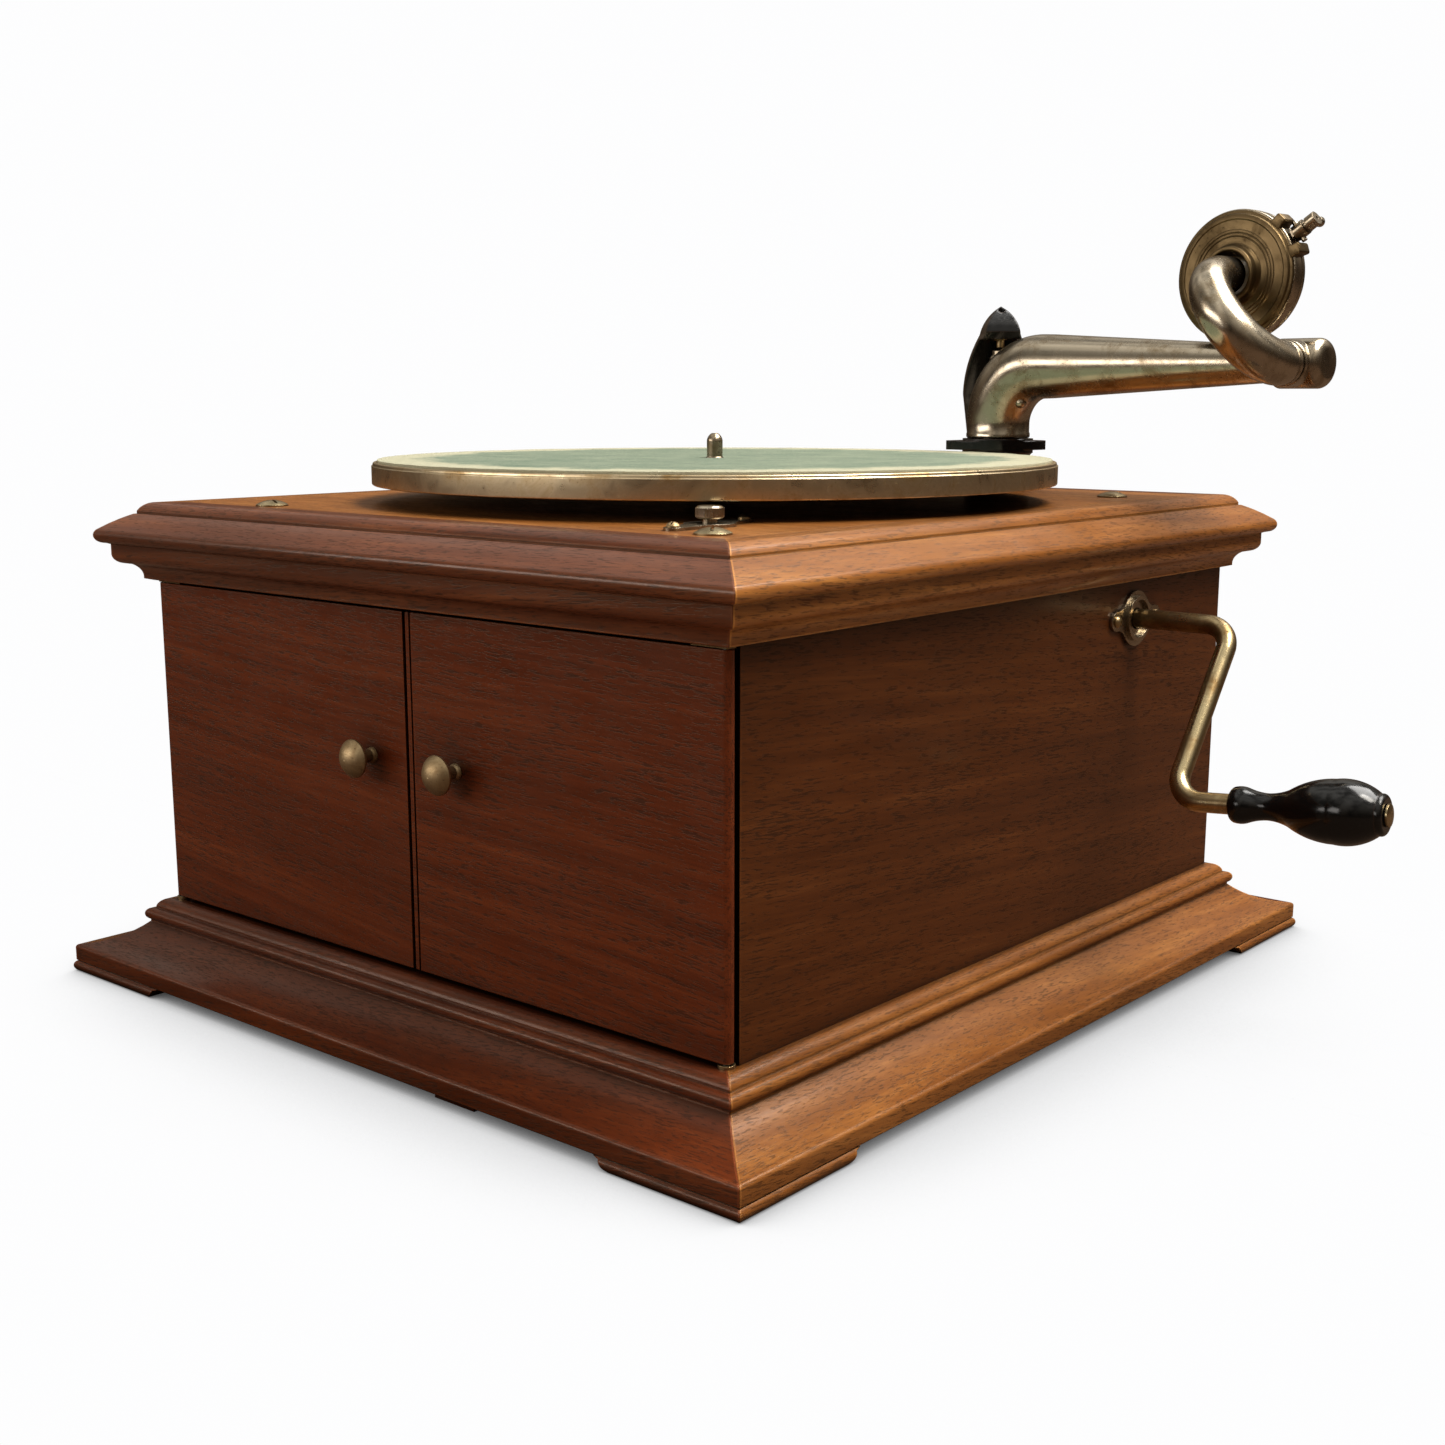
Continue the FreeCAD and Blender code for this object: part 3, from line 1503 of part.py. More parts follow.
def arm_bracket():
    """The black cast support: foot, flange, and the leaf-shaped arch behind the elbow."""
    foot = turned("bracket_foot", [
        (12.08, DECK),
        (16.0, DECK),
        (16.0, FLANGE_TOP - 9),
        (17.5, FLANGE_TOP - 7, 2.6, -1),
        (17.5, FLANGE_TOP),
        (12.08, FLANGE_TOP),
    ])
    flange = new_sketch(foot, "XY_Plane", FLANGE_TOP - 5.5)
    ear = 23.5
    draw(flange, [
        (3.0, -ear),
        (15.0, -8.0, 30.0, 1),
        (15.0, 8.0, 17.5, 1),
        (3.0, ear, 30.0, 1),
        (-3.0, ear, 3.1, 1),
        (-15.0, 8.0, 30.0, 1),
        (-15.0, -8.0, 17.5, 1),
        (-3.0, -ear, 30.0, 1),
    ])
    circle(flange, 0, 0, 12.08)
    add_pad(foot, flange, 4.5)
    # The arch: a side profile limited by a pointed leaf outline.
    side = new_body("arch_side")
    profile = new_sketch(side, "XZ_Plane")
    back = 24.5
    draw(profile, [
        (16.6, DECK + 4),
        (20.0, DECK + 4),
        (back, FLANGE_TOP),
        (back, 262.0),
        (2.0, 304.5, 60.0, 1),
        (-8.0, 292.0, 22.0, 1),
        (-6.0, 288.5),
        (8.0, 288.5),
        (17.4, 262.0, 48.0, -1),
        (17.4, FLANGE_TOP - 8),
    ])
    add_pad(side, profile, 60, both_ways=True)
    leaf = new_body("arch_leaf")
    outline = new_sketch(leaf, "YZ_Plane", -40)
    draw(outline, [
        (-9.0, DECK),
        (9.0, DECK),
        (15.0, 262.0),
        (8.6, 291.0, 70.0, 1),
        (0, 304.5, 18.0, 1),
        (-8.6, 291.0, 18.0, 1),
        (-15.0, 262.0, 70.0, 1),
    ])
    add_pad(leaf, outline, 90)
    arch = doc.addObject("Part::Common", "arch")
    arch.Base = side
    arch.Tool = leaf
    whole = fuse("bracket_whole", [foot, arch])
    bore = rod("bracket_screw_hole", PIVOT_SCREW_RADIUS, 40)
    place(bore, 0, 0, 270)
    bored = cut("arm_bracket", whole, bore)
    angle = turn_z(DRIVING_SIZES["bracket_angle"])
    return keep(place(bored, S["arm_place_x"], S["arm_place_y"], 0, angle), "arm_bracket")


PIVOT_SCREW_RADIUS = 2.0


def arm_pivot_screw():
    """The brass screw down through the bracket that steadies the top of the elbow."""
    body = turned("arm_pivot_screw", [
        (0, 283.7),
        (PIVOT_SCREW_RADIUS, 284.6),
        (PIVOT_SCREW_RADIUS, 288.0),
        (3.2, 288.0),
        (3.2, 288.5),
        (PIVOT_SCREW_RADIUS, 288.5),
        (PIVOT_SCREW_RADIUS, 300.0),
        (0, 300.0),
    ])
    return keep(place(body, S["arm_place_x"], S["arm_place_y"], 0), "arm_pivot_screw")


def lifted_sketch(body, height):
    """A sketch on the body's XZ plane whose horizontal axis lies at the given height."""
    sketch = new_sketch(body, "XZ_Plane")
    sketch.AttachmentOffset = Placement(Vector(0, float(height), 0), Rotation())
    bind(sketch, "AttachmentOffset.Base.y", height)
    return sketch


def tonearm():
    """The hollow tapered arm: journal, elbow, taper, socket end and side branch."""
    height = S["arm_height"]
    bend = S["arm_bend"]
    radius = S["arm_radius"]
    reach = S["arm_reach"]
    slim = S["arm_end_radius"]
    wall = S["arm_wall"]
    shoulder = FLANGE_TOP + 0.3
    body = new_body("tonearm")
    elbow_path = [
        (0, shoulder),
        (0, height - bend),
        (bend, height, bend, -1),
    ]
    path = draw(new_sketch(body, "XZ_Plane"), elbow_path, closed=False)
    ring = circle(new_sketch(body, "XY_Plane", shoulder), 0, 0, radius)
    pipe = body.newObject("PartDesign::AdditivePipe", "tonearmElbow")
    pipe.Profile = ring
    pipe.Spine = (path, ["Edge1", "Edge2"])
    journal = circle(new_sketch(body, "XY_Plane", DECK - 1), 0, 0, 12.0)
    add_pad(body, journal, shoulder - DECK + 2)
    taper = lifted_sketch(body, height)
    cap = 13.0
    socket = 10.8
    draw(taper, [
        (bend, 0),
        (bend, radius),
        (bend + 3, radius),
        (reach - 13, slim),
        (reach - 9.5, socket, 5.0, 1),
        (reach + cap - 3, socket),
        (reach + cap, socket - 3, 3.0, -1),
        (reach + cap, 0),
    ])
    add_turning(body, taper, "H_Axis")
    boss = circle(new_sketch(body, "XY_Plane", 274.0), 0, 0, 4.0)
    add_pad(body, boss, 283.2 - 274.0)
    branch = circle(new_sketch(body, "XZ_Plane"), reach, height, S["joint_radius"])
    add_pad(body, branch, S["joint_offset"] - 0.2)
    # The sound passage inside.
    throat_start = DECK - 2
    hollow_path = draw(new_sketch(body, "XZ_Plane"), [
        (0, throat_start),
        (0, height - bend),
        (bend, height, bend, -1),
    ], closed=False)
    hollow_ring = circle(new_sketch(body, "XY_Plane", throat_start), 0, 0, 10.8)
    hollow = body.newObject("PartDesign::SubtractivePipe", "tonearmHollow")
    hollow.Profile = hollow_ring
    hollow.Spine = (hollow_path, ["Edge1", "Edge2"])
    passage = lifted_sketch(body, height)
    draw(passage, [
        (bend, 0),
        (bend, 10.8),
        (reach - 13, slim - wall),
        (reach, slim - wall),
        (reach, 0),
    ])
    add_turning(body, passage, "H_Axis", "Groove")
    mouth = new_sketch(body, "XZ_Plane", S["joint_offset"])
    circle(mouth, reach, height, slim - wall)
    pocket = body.newObject("PartDesign::Pocket", "tonearmMouth")
    pocket.Profile = mouth
    pocket.Length = float(S["joint_offset"])
    bind(pocket, "Length", S["joint_offset"])
    return keep(place(body, S["arm_place_x"], S["arm_place_y"], 0, arm_frame()), "tonearm")


def gooseneck():
    """The U-shaped neck that swings the soundbox up from the record."""
    span = neck_span()
    leg = S["neck_leg"]
    bore = S["arm_end_radius"] - S["arm_wall"]
    start = Vector(0, 0, 0.3)
    half = float(span) / 2
    rise = float(leg)
    spine = Part.Wire([
        Part.makeLine(start, Vector(0, 0, rise)),
        Part.Arc(Vector(0, 0, rise), Vector(half, 0, rise + half), Vector(2 * half, 0, rise)).toShape(),
        Part.makeLine(Vector(2 * half, 0, rise), Vector(2 * half, 0, -2.0)),
    ])

    def tube(big, small):
        shell = Part.BRepOffsetAPI.MakePipeShell(spine)
        shell.setFrenetMode(True)
        for centre, radius in ((start, big), (Vector(2 * half, 0, -2.0), small)):
            shell.add(Part.Wire(Part.makeCircle(radius, centre, Vector(0, 0, 1))), False, False)
        shell.build()
        shell.makeSolid()
        return shell.shape()

    wall = float(S["arm_wall"])
    big = float(S["joint_radius"]) - 0.2
    small = float(S["neck_radius"])
    spigot = Part.makeCylinder(float(bore) - float(PLAY), 9.0, Vector(0, 0, -8.0))
    outside = tube(big, small).fuse(spigot)
    inner_bore = Part.makeCylinder(float(bore) - 1.4, 9.0, Vector(0, 0, -8.5))
    item = doc.addObject("Part::Feature", "gooseneck")
    item.Shape = outside.cut(tube(float(bore) - 1.4, small - wall)).cut(inner_bore)
    return keep(set_on_neck(item, neck_spin()), "gooseneck")


def needle_spin():
    return DRIVING_SIZES["needle_angle"] - neck_spin()


BACK = -5.0


def soundbox_shell():
    """The round case of the soundbox, with its hub, front lip and two spring lugs."""
    radius = S["soundbox_radius"]
    front = BACK - S["soundbox_depth"]
    bore = S["neck_radius"] + 0.05
    body = turned("soundbox_shell", [
        (bore, BACK - 2.4),
        (radius - 3.2, BACK - 2.4),
        (radius - 3.2, front),
        (radius - 1.4, front),
        (radius, front + 1.4, 1.5, 1),
        (radius, BACK - 2.4),
        (radius - 0.8, BACK - 1.6),
        (radius - 1.6, BACK - 1.6),
        (radius - 2.2, BACK - 0.6),
        (radius - 4.5, BACK),
        (13.0, BACK),
        (12.4, BACK + 2.0),
        (12.0, BACK + 5.0, 9.0, -1),
        (10.8, BACK + 5.4, 1.0, 1),
        (9.6, BACK + 3.8),
        (bore, BACK + 1.0),
    ])
    for side in (-1, 1):
        lug = new_sketch(body, "XY_Plane", front + 2.0, side * 14.5)
        draw(lug, [
            (radius - 1.0, -2.8),
            (radius + 2.8, -2.4),
            (radius + 3.6, 0, 3.0, 1),
            (radius + 2.8, 2.4, 3.0, 1),
            (radius - 1.0, 2.8),
        ])
        add_pad(body, lug, 9.0)
    return keep(set_on_soundbox(body, needle_spin()), "soundbox_shell")


DIAPHRAGM = -13.0


def diaphragm():
    body = turned("diaphragm", [
        (0, DIAPHRAGM),
        (23.4, DIAPHRAGM),
        (23.4, DIAPHRAGM + 0.3),
        (0, DIAPHRAGM + 0.3),
    ])
    return keep(set_on_soundbox(body, 0), "diaphragm")


def gaskets():
    """Rubber rings that grip the diaphragm on both faces."""
    outer = S["soundbox_radius"] - 3.25
    rings = []
    for name, low in (("front", DIAPHRAGM - 2.05), ("rear", DIAPHRAGM + 0.35)):
        ring = turned(name + "_gasket", [
            (21.6, low),
            (outer, low),
            (outer, low + 2.0),
            (21.6, low + 2.0),
        ])
        rings.append(set_on_soundbox(ring, 0))
    return keep(group("gaskets", rings), "gaskets")


CHUCK_CENTRE = -13.0
CHUCK_END = 41.0


def needle_bar():
    """The bar from the diaphragm's centre to the chuck, rocking on a pin between the lugs."""
    front = BACK - S["soundbox_depth"]
    start = S["soundbox_radius"] + 0.6
    body = new_body("needle_bar")
    profile = new_sketch(body, "XZ_Plane")
    draw(profile, [
        (-1.4, DIAPHRAGM - ROCK_ROOM),
        (-1.4, DIAPHRAGM - 2.4),
        (10, front - 1.6),
        (start + 5.5, front - 1.6),
        (start + 5.5, CHUCK_CENTRE + 3.2),
        (start, CHUCK_CENTRE + 3.2),
        (start, front - 0.4),
        (12, front - 0.4),
        (1.4, DIAPHRAGM - 1.4),
        (1.4, DIAPHRAGM - ROCK_ROOM),
    ])
    add_pad(body, profile, 3.0, both_ways=True)
    block = new_sketch(body, "YZ_Plane", start + 1.0)
    circle(block, 0, CHUCK_CENTRE, 3.6)
    add_pad(body, block, 5.0)
    tube = new_sketch(body, "YZ_Plane", start + 5.0)
    circle(tube, 0, CHUCK_CENTRE, 2.2)
    add_pad(body, tube, CHUCK_END - start - 5.0)
    head = new_sketch(body, "YZ_Plane", CHUCK_END - 4.4)
    circle(head, 0, CHUCK_CENTRE, 3.2)
    add_pad(body, head, 4.4)
    pin = circle(new_sketch(body, "XZ_Plane"), start + 2.7, CHUCK_CENTRE, 1.2)
    add_pad(body, pin, 9.8, both_ways=True)
    socket = circle(new_sketch(body, "YZ_Plane", CHUCK_END), 0, CHUCK_CENTRE, NEEDLE_HOLE)
    pocket = body.newObject("PartDesign::Pocket", "needle_barSocket")
    pocket.Profile = socket
    pocket.Length = SOCKET_DEPTH
    screw_hole = circle(new_sketch(body, "XY_Plane", CHUCK_CENTRE - 1.4), CHUCK_END - 2.2, 0, 1.05)
    thread = body.newObject("PartDesign::Pocket", "needle_barThread")
    thread.Profile = screw_hole
    thread.Length = 5.0
    return keep(set_on_soundbox(body, needle_spin()), "needle_bar")


NEEDLE_HOLE = 0.8
SOCKET_DEPTH = 7.5
ROCK_ROOM = 0.25


def needle_screw():
    """The little thumbscrew across the chuck that clamps the needle."""
    x = CHUCK_END - 2.2
    body = turned("needle_screw", [
        (0, 0),
        (1.0, 0),
        (1.0, 2.4),
        (2.2, 2.8),
        (2.2, 5.2),
        (1.4, 6.0, 1.4, 1),
        (0, 6.0),
    ])
    set_on_soundbox(body, needle_spin())
    spot = body.Placement.multVec(Vector(x, 0, CHUCK_CENTRE - 1.5))
    flip = Rotation(Vector(1, 0, 0), 180)
    body.Placement = Placement(spot, body.Placement.Rotation * flip)
    return keep(body, "needle_screw")


# ---------------------------------------------------------------- deck hardware

REGULATOR_ANGLE = 99.7
REGULATOR_SCREW_REACH = 25.0


def regulator_screw_places():
    """The two screws of the speed plate, either side of the regulating screw."""
    angle = math.radians(REGULATOR_ANGLE)
    places = []
    for side in (-1, 1):
        x = S["regulator_x"] + side * REGULATOR_SCREW_REACH * math.cos(angle)
        y = S["regulator_y"] + side * REGULATOR_SCREW_REACH * math.sin(angle)
        places.append((x, y))
    return places


PLATE_THICK = 1.2


def speed_plate():
    body = new_body("speed_plate")
    plan = new_sketch(body, "XY_Plane", DECK)
    end = REGULATOR_SCREW_REACH
    draw(plan, [
        (end, -3.6),
        (end + 3.8, 0, 3.9, 1),
        (end, 3.6, 3.9, 1),
        (8, 5.5),
        (-8, 5.5, 9.8, 1),
        (-end, 3.6),
        (-end - 3.8, 0, 3.9, 1),
        (-end, -3.6, 3.9, 1),
        (-8, -5.5),
        (8, -5.5, 9.8, 1),
    ])
    for x, radius in ((0, 3.2), (end, 1.5), (-end, 1.5)):
        circle(plan, x, 0, radius)
    add_pad(body, plan, PLATE_THICK)
    place(body, S["regulator_x"], S["regulator_y"], 0, turn_z(REGULATOR_ANGLE))
    return keep(body, "speed_plate")


def speed_screw():
    """The knurled speed screw: ribbed head, stem and the small cam under the deck."""
    low = S["governor_height"] - 4
    neck = DECK + PLATE_THICK + 1.6
    head = neck + 4.6
    body = turned("speed_screw", [
        (0, low),
        (3.0, low),
        (3.0, neck),
        (4.7, neck),
        (5.1, neck + 0.5),
        (5.1, head - 0.6),
        (4.4, head),
        (0, head),
    ])
    cam = circle(new_sketch(body, "XY_Plane", low), 1.2, 0, 4.0)
    add_pad(body, cam, 6)
    rib = new_sketch(body, "XY_Plane", neck + 0.5)
    draw(rib, [(4.9, -0.28), (5.35, 0), (4.9, 0.28)])
    pad = add_pad(body, rib, 3.4)
    ribs = body.newObject("PartDesign::PolarPattern", "speed_screwKnurl")
    ribs.Originals = [pad]
    ribs.Axis = (rib, ["N_Axis"])
    ribs.Angle = 360.0
    ribs.Occurrences = 36
    body.Tip = ribs
    return keep(place(body, S["regulator_x"], S["regulator_y"], 0), "speed_screw")


def deck_screws():
    """Large slotted heads that hold the motor board down at its corners."""
    screws = []
    for index, (x, y) in enumerate(DECK_SCREWS):
        screw = round_head_screw(f"deck_screw_{index + 1}", 6.8, 2.6, DECK_SCREW_SHANK, 11.0, 1.2)
        screws.append(place(screw, x, y, DECK, turn_z(35 + 40 * index)))
    return keep(group("deck_screws", screws), "deck_screws")


def small_screws():
    """The equal round-head screws of the speed plate and the escutcheon."""
    screws = []
    for index, (x, y) in enumerate(regulator_screw_places()):
        screw = round_head_screw(f"plate_screw_{index + 1}", 2.6, 2.0, 1.4, 8.0, 0.7)
        screws.append(place(screw, x, y, DECK + PLATE_THICK, turn_z(20 + 50 * index)))
    for index, side in enumerate((-1, 1)):
        screw = round_head_screw(f"ear_screw_{index + 1}", 2.6, 2.0, 1.4, 1.5, 0.7)
        y = S["crank_place_y"] + side * ESCUTCHEON_SCREW_REACH
        screws.append(place(screw, HALF_W + 1.6, y, S["crank_height"], ALONG_X * turn_z(60 * index)))
    return keep(group("small_screws", screws), "small_screws")


# ---------------------------------------------------------------- assembly and output

def build_all():
    cabinet_mouldings()
    cabinet_boards()
    motor_board()
    left_door = door("left_door", -1)
    right_door = door("right_door", 1)
    knob_hole(left_door, S["left_knob_place"])
    knob_hole(right_door, S["right_knob_place"])
    door_knob("left_knob", S["left_knob_place"])
    door_knob("right_knob", S["right_knob_place"])
    door_pins("left_door_pins", -1)
    door_pins("right_door_pins", 1)
    pivot_hardware()
    horn()
    louvre_slats()
    horn_elbow()
    platter()
    felt()
    spindle()
    governor_wheel()
    bedplate()
    cheek("left_cheek", S["left_cheek"])
    cheek("right_cheek", S["right_cheek"])
    winding_shaft()
    spring_arbor()
    spring_barrel()
    mainspring()
    intermediate_gear()
    crown_gear()
    governor_shaft()
    around_governor("governor_springs", governor_spring)
    around_governor("governor_weights", governor_weight)
    governor_disc()
    speed_lever()
    crank_rod()
    crank_grip()
    escutcheon()
    arm_bracket()
    arm_pivot_screw()
    tonearm()
    gooseneck()
    soundbox_shell()
    diaphragm()
    gaskets()
    needle_bar()
    needle_screw()
    speed_plate()
    speed_screw()
    deck_screws()
    small_screws()


def check_document():
    """Stop with a plain message if any object failed or any sub-part has no sound shape."""
    faults = []
    for item in doc.Objects:
        if "Invalid" in item.State or "Error" in item.State:
            faults.append(f"{item.Name}: {item.State}")
    for node in nodes:
        shape = node.Shape
        if shape.isNull() or not shape.isValid() or not shape.Solids:
            faults.append(f"{node.Label}: no sound solid")
    if faults:
        raise RuntimeError("; ".join(faults))


def write_parts():
    os.makedirs("parts", exist_ok=True)
    for node in nodes:
        node.Shape.exportStep(os.path.join("parts", node.Label + ".step"))


build_all()
doc.recompute()
check_document()
write_parts()
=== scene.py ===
"""The looks of a tabletop wind-up phonograph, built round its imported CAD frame.

Every length is in metres and every place is in the row frame: +Z up, doors facing -Y,
crank on +X. Sizes come from the frame's own boxes and joints.
"""

import json
import math

import bmesh
import bpy
from mathutils import Matrix, Vector, noise


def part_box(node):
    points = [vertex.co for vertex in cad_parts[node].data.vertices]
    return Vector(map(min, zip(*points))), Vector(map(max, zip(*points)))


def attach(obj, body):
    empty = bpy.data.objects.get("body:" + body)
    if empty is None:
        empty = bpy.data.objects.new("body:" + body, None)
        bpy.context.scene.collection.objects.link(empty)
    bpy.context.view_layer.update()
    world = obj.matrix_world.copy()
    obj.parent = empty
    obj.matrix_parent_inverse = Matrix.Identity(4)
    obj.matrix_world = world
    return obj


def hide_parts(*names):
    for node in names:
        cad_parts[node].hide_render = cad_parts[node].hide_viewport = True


MM = 0.001

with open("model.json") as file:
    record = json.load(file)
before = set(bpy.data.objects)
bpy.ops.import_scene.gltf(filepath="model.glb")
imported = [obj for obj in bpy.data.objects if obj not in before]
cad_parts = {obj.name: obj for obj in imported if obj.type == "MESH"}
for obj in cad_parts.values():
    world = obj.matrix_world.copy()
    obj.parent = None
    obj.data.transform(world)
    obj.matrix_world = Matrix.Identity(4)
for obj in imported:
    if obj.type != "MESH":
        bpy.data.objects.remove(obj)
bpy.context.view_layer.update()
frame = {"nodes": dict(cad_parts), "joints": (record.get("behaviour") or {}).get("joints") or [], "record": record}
nodes = frame["nodes"]
joints = {joint["name"]: joint for joint in frame["joints"]}
mounts = {mount["name"]: mount for mount in frame["record"]["mounts"]}

# sizes shared by the shaped pieces
RIM_HEIGHT = 9.6 * MM
SHAFT_RADIUS = 4.0 * MM
BRACKET_TOP = 240.0 * MM
ARM_RADIUS = 15.4 * MM
ARM_BEND = 27.0 * MM
ARM_TIP = 8.2 * MM
SOCKET_RADIUS = 10.8 * MM
JOINT_RADIUS = 9.8 * MM
NECK_RADIUS = 8.0 * MM
NECK_LEG = 4.0 * MM
SOUNDBOX_RADIUS = 28.5 * MM
SOUNDBOX_BACK = -5.0 * MM
SOUNDBOX_DEPTH = 12.0 * MM
LUG_ANGLE = math.radians(14.5)

# the camera: place, turn about the vertical, tilt, lens and lens shift
CAMERA_PLACE = (0.5451, -0.6314, 0.2629)
CAMERA_YAW = 40.52
CAMERA_PITCH = -11.0
FOCAL_LENGTH = 44.9
SHIFT = (0.0037, 0.0136)


# ---------------------------------------------------------------- shader building

class Shader:
    """One node material. Methods add a node and return its output socket."""

    def __init__(self, name):
        self.material = bpy.data.materials.new(name)
        self.material.use_nodes = True
        self.tree = self.material.node_tree
        self.surface = self.tree.nodes["Principled BSDF"]
        self.place = self.add("TexCoord").outputs["Object"]

    def feed(self, socket, value):
        if isinstance(value, bpy.types.NodeSocket):
            self.tree.links.new(value, socket)
        elif value is not None:
            socket.default_value = value

    def add(self, kind, inputs=(), **settings):
        node = self.tree.nodes.new("ShaderNode" + kind)
        for key, value in settings.items():
            setattr(node, key, value)
        for key, value in dict(inputs).items():
            self.feed(node.inputs[key], value)
        return node

    def stretch(self, vector, scale, offset=(0, 0, 0), turn=(0, 0, 0)):
        node = self.add("Mapping", {
            "Vector": vector,
            "Scale": scale,
            "Location": offset,
            "Rotation": tuple(math.radians(angle) for angle in turn),
        })
        return node.outputs["Vector"]

    def noise(self, vector, scale=1.0, detail=3.0, roughness=0.5, distortion=0.0):
        node = self.add("TexNoise", {
            "Vector": vector,
            "Scale": scale,
            "Detail": detail,
            "Roughness": roughness,
            "Distortion": distortion,
        })
        return node.outputs["Fac"]

    def remap(self, value, low, high, to_low=0.0, to_high=1.0):
        node = self.add("MapRange", {
            "Value": value,
            "From Min": low,
            "From Max": high,
            "To Min": to_low,
            "To Max": to_high,
        })
        return node.outputs["Result"]

    def ramp(self, value, stops):
        node = self.add("ValToRGB", {"Fac": value})
        band = node.color_ramp
        while len(band.elements) < len(stops):
            band.elements.new(0.5)
        for element, (position, colour) in zip(band.elements, stops):
            element.position = position
            element.color = (*colour, 1.0)
        return node.outputs["Color"]

    def mix(self, share, first, second, blend="MIX"):
        node = self.add("Mix", data_type="RGBA", blend_type=blend)
        self.feed(node.inputs[0], share)
        for socket, value in ((node.inputs[6], first), (node.inputs[7], second)):
            self.feed(socket, value if isinstance(value, bpy.types.NodeSocket) else (*value, 1.0))
        return node.outputs[2]

    def sum(self, operation, first, second=None):
        node = self.add("Math", operation=operation)
        self.feed(node.inputs[0], first)
        self.feed(node.inputs[1], second)
        return node.outputs[0]

    def bump(self, height, strength, distance, normal=None):
        node = self.add("Bump", {
            "Height": height,
            "Strength": strength,
            "Distance": distance,
            "Normal": normal,
        })
        return node.outputs["Normal"]

    def recess(self, reach):
        """1 in the open, falling towards 0 where surfaces crowd together."""
        node = self.add("AmbientOcclusion", {"Distance": reach}, samples=6)
        return node.outputs["AO"]

    def soft_edges(self, width):
        """A normal that rolls over sharp edges, as if they were rounded to this width."""
        return self.add("Bevel", {"Radius": width}, samples=4).outputs["Normal"]

    def edge(self, width):
        """0 on flat areas, rising to 1 along edges that get rubbed."""
        rounded = self.soft_edges(width)
        plain = self.add("NewGeometry").outputs["Normal"]
        node = self.add("VectorMath", operation="DOT_PRODUCT")
        self.feed(node.inputs[0], rounded)
        self.feed(node.inputs[1], plain)
        return self.remap(node.outputs["Value"], 0.995, 0.86)

    def finish(self, **inputs):
        for key, value in inputs.items():
            self.feed(self.surface.inputs[key.replace("_", " ")], value)
        return self.material


# ---------------------------------------------------------------- materials

def grain_scale(axis, along, across):
    """Mapping scale for a pattern drawn out along one axis of the object."""
    return tuple(along if name == axis else across for name in "xyz")


def polished_wood(name, axis, tones, seed=0.0, wear=0.35, lean=4.0, coat=0.12, shade_reach=16 * MM):
    """Varnished mahogany: soft figure, fine fibre, short dark pores, rubbed edges, painted shade in recesses and
    creases.
    """
    dark, middle, light = tones
    s = Shader(name)
    slope = (0, lean, 0) if axis == "x" else (lean, 0, 0)
    shifted = s.stretch(s.place, (1, 1, 1), (seed, seed * 0.7, seed * 1.3), slope)
    sway = s.noise(s.stretch(shifted, grain_scale(axis, 5, 9)), detail=2)
    bent = s.add("VectorMath", {1: (0.008, 0.008, 0.008)}, operation="MULTIPLY_ADD")
    s.feed(bent.inputs[0], sway)
    s.feed(bent.inputs[2], shifted)
    grain = bent.outputs["Vector"]
    figure = s.noise(s.stretch(grain, grain_scale(axis, 4.0, 120)), detail=5, roughness=0.62)
    fibre = s.noise(s.stretch(grain, grain_scale(axis, 22, 760)), detail=3, roughness=0.65)
    pores = s.noise(s.stretch(grain, grain_scale(axis, 150, 1500)), detail=2, roughness=0.6)
    pore_zone = s.noise(s.stretch(grain, grain_scale(axis, 9, 70)), detail=2)
    stain = s.noise(shifted, scale=9, detail=3)
    colour = s.ramp(figure, [(0.18, dark), (0.50, middle), (0.84, light)])
    colour = s.mix(s.remap(fibre, 0.38, 0.66, 0.0, 0.50), colour, dark)
    threshold = s.remap(pore_zone, 0.3, 0.7, 0.59, 0.50)
    pore = s.remap(s.sum("SUBTRACT", pores, threshold), 0.0, 0.07)
    colour = s.mix(s.sum("MULTIPLY", pore, 0.62), colour, tuple(c * 0.22 for c in dark))
    colour = s.mix(s.remap(stain, 0.40, 0.75, 0.0, 0.30), colour, tuple(c * 0.6 for c in middle))
    rubbed = s.sum("MULTIPLY", s.edge(1.4 * MM), s.remap(stain, 0.35, 0.6, wear, wear * 0.3))
    colour = s.mix(rubbed, colour, tuple(min(c * 2.2, 1.0) for c in light))
    # Painted shade: ambient occlusion darkens the wood towards near black in recesses and under overhangs such as
    # the cornice's ovolo, and a short reach darkens the narrow creases between mouldings.
    grime_and_shade = s.remap(s.recess(shade_reach), 0.30, 0.88, 0.88, 0.0)
    crease_shade = s.remap(s.recess(6 * MM), 0.40, 0.90, 0.95, 0.0)
    colour = s.mix(s.sum("MAXIMUM", grime_and_shade, crease_shade), colour, tuple(c * 0.12 for c in dark))
    smudge = s.noise(shifted, scale=35, detail=4, roughness=0.6)
    rough = s.remap(smudge, 0.3, 0.7, 0.28, 0.42)
    rough = s.sum("ADD", rough, s.sum("MULTIPLY", pore, 0.15))
    swell = s.noise(s.stretch(grain, grain_scale(axis, 8, 90)), detail=2)
    lumps = s.bump(swell, 0.12, 0.6 * MM, s.soft_edges(0.9 * MM))
    holes = s.bump(s.sum("SUBTRACT", 1.0, pore), 0.35, 0.12 * MM, lumps)
    return s.finish(
        Base_Color=colour,
        Roughness=rough,
        Normal=holes,
        Coat_Weight=coat,
        Coat_Roughness=0.16,
        Specular_IOR_Level=0.34,
        Specular_Tint=(1.0, 0.74, 0.50, 1.0),
    )


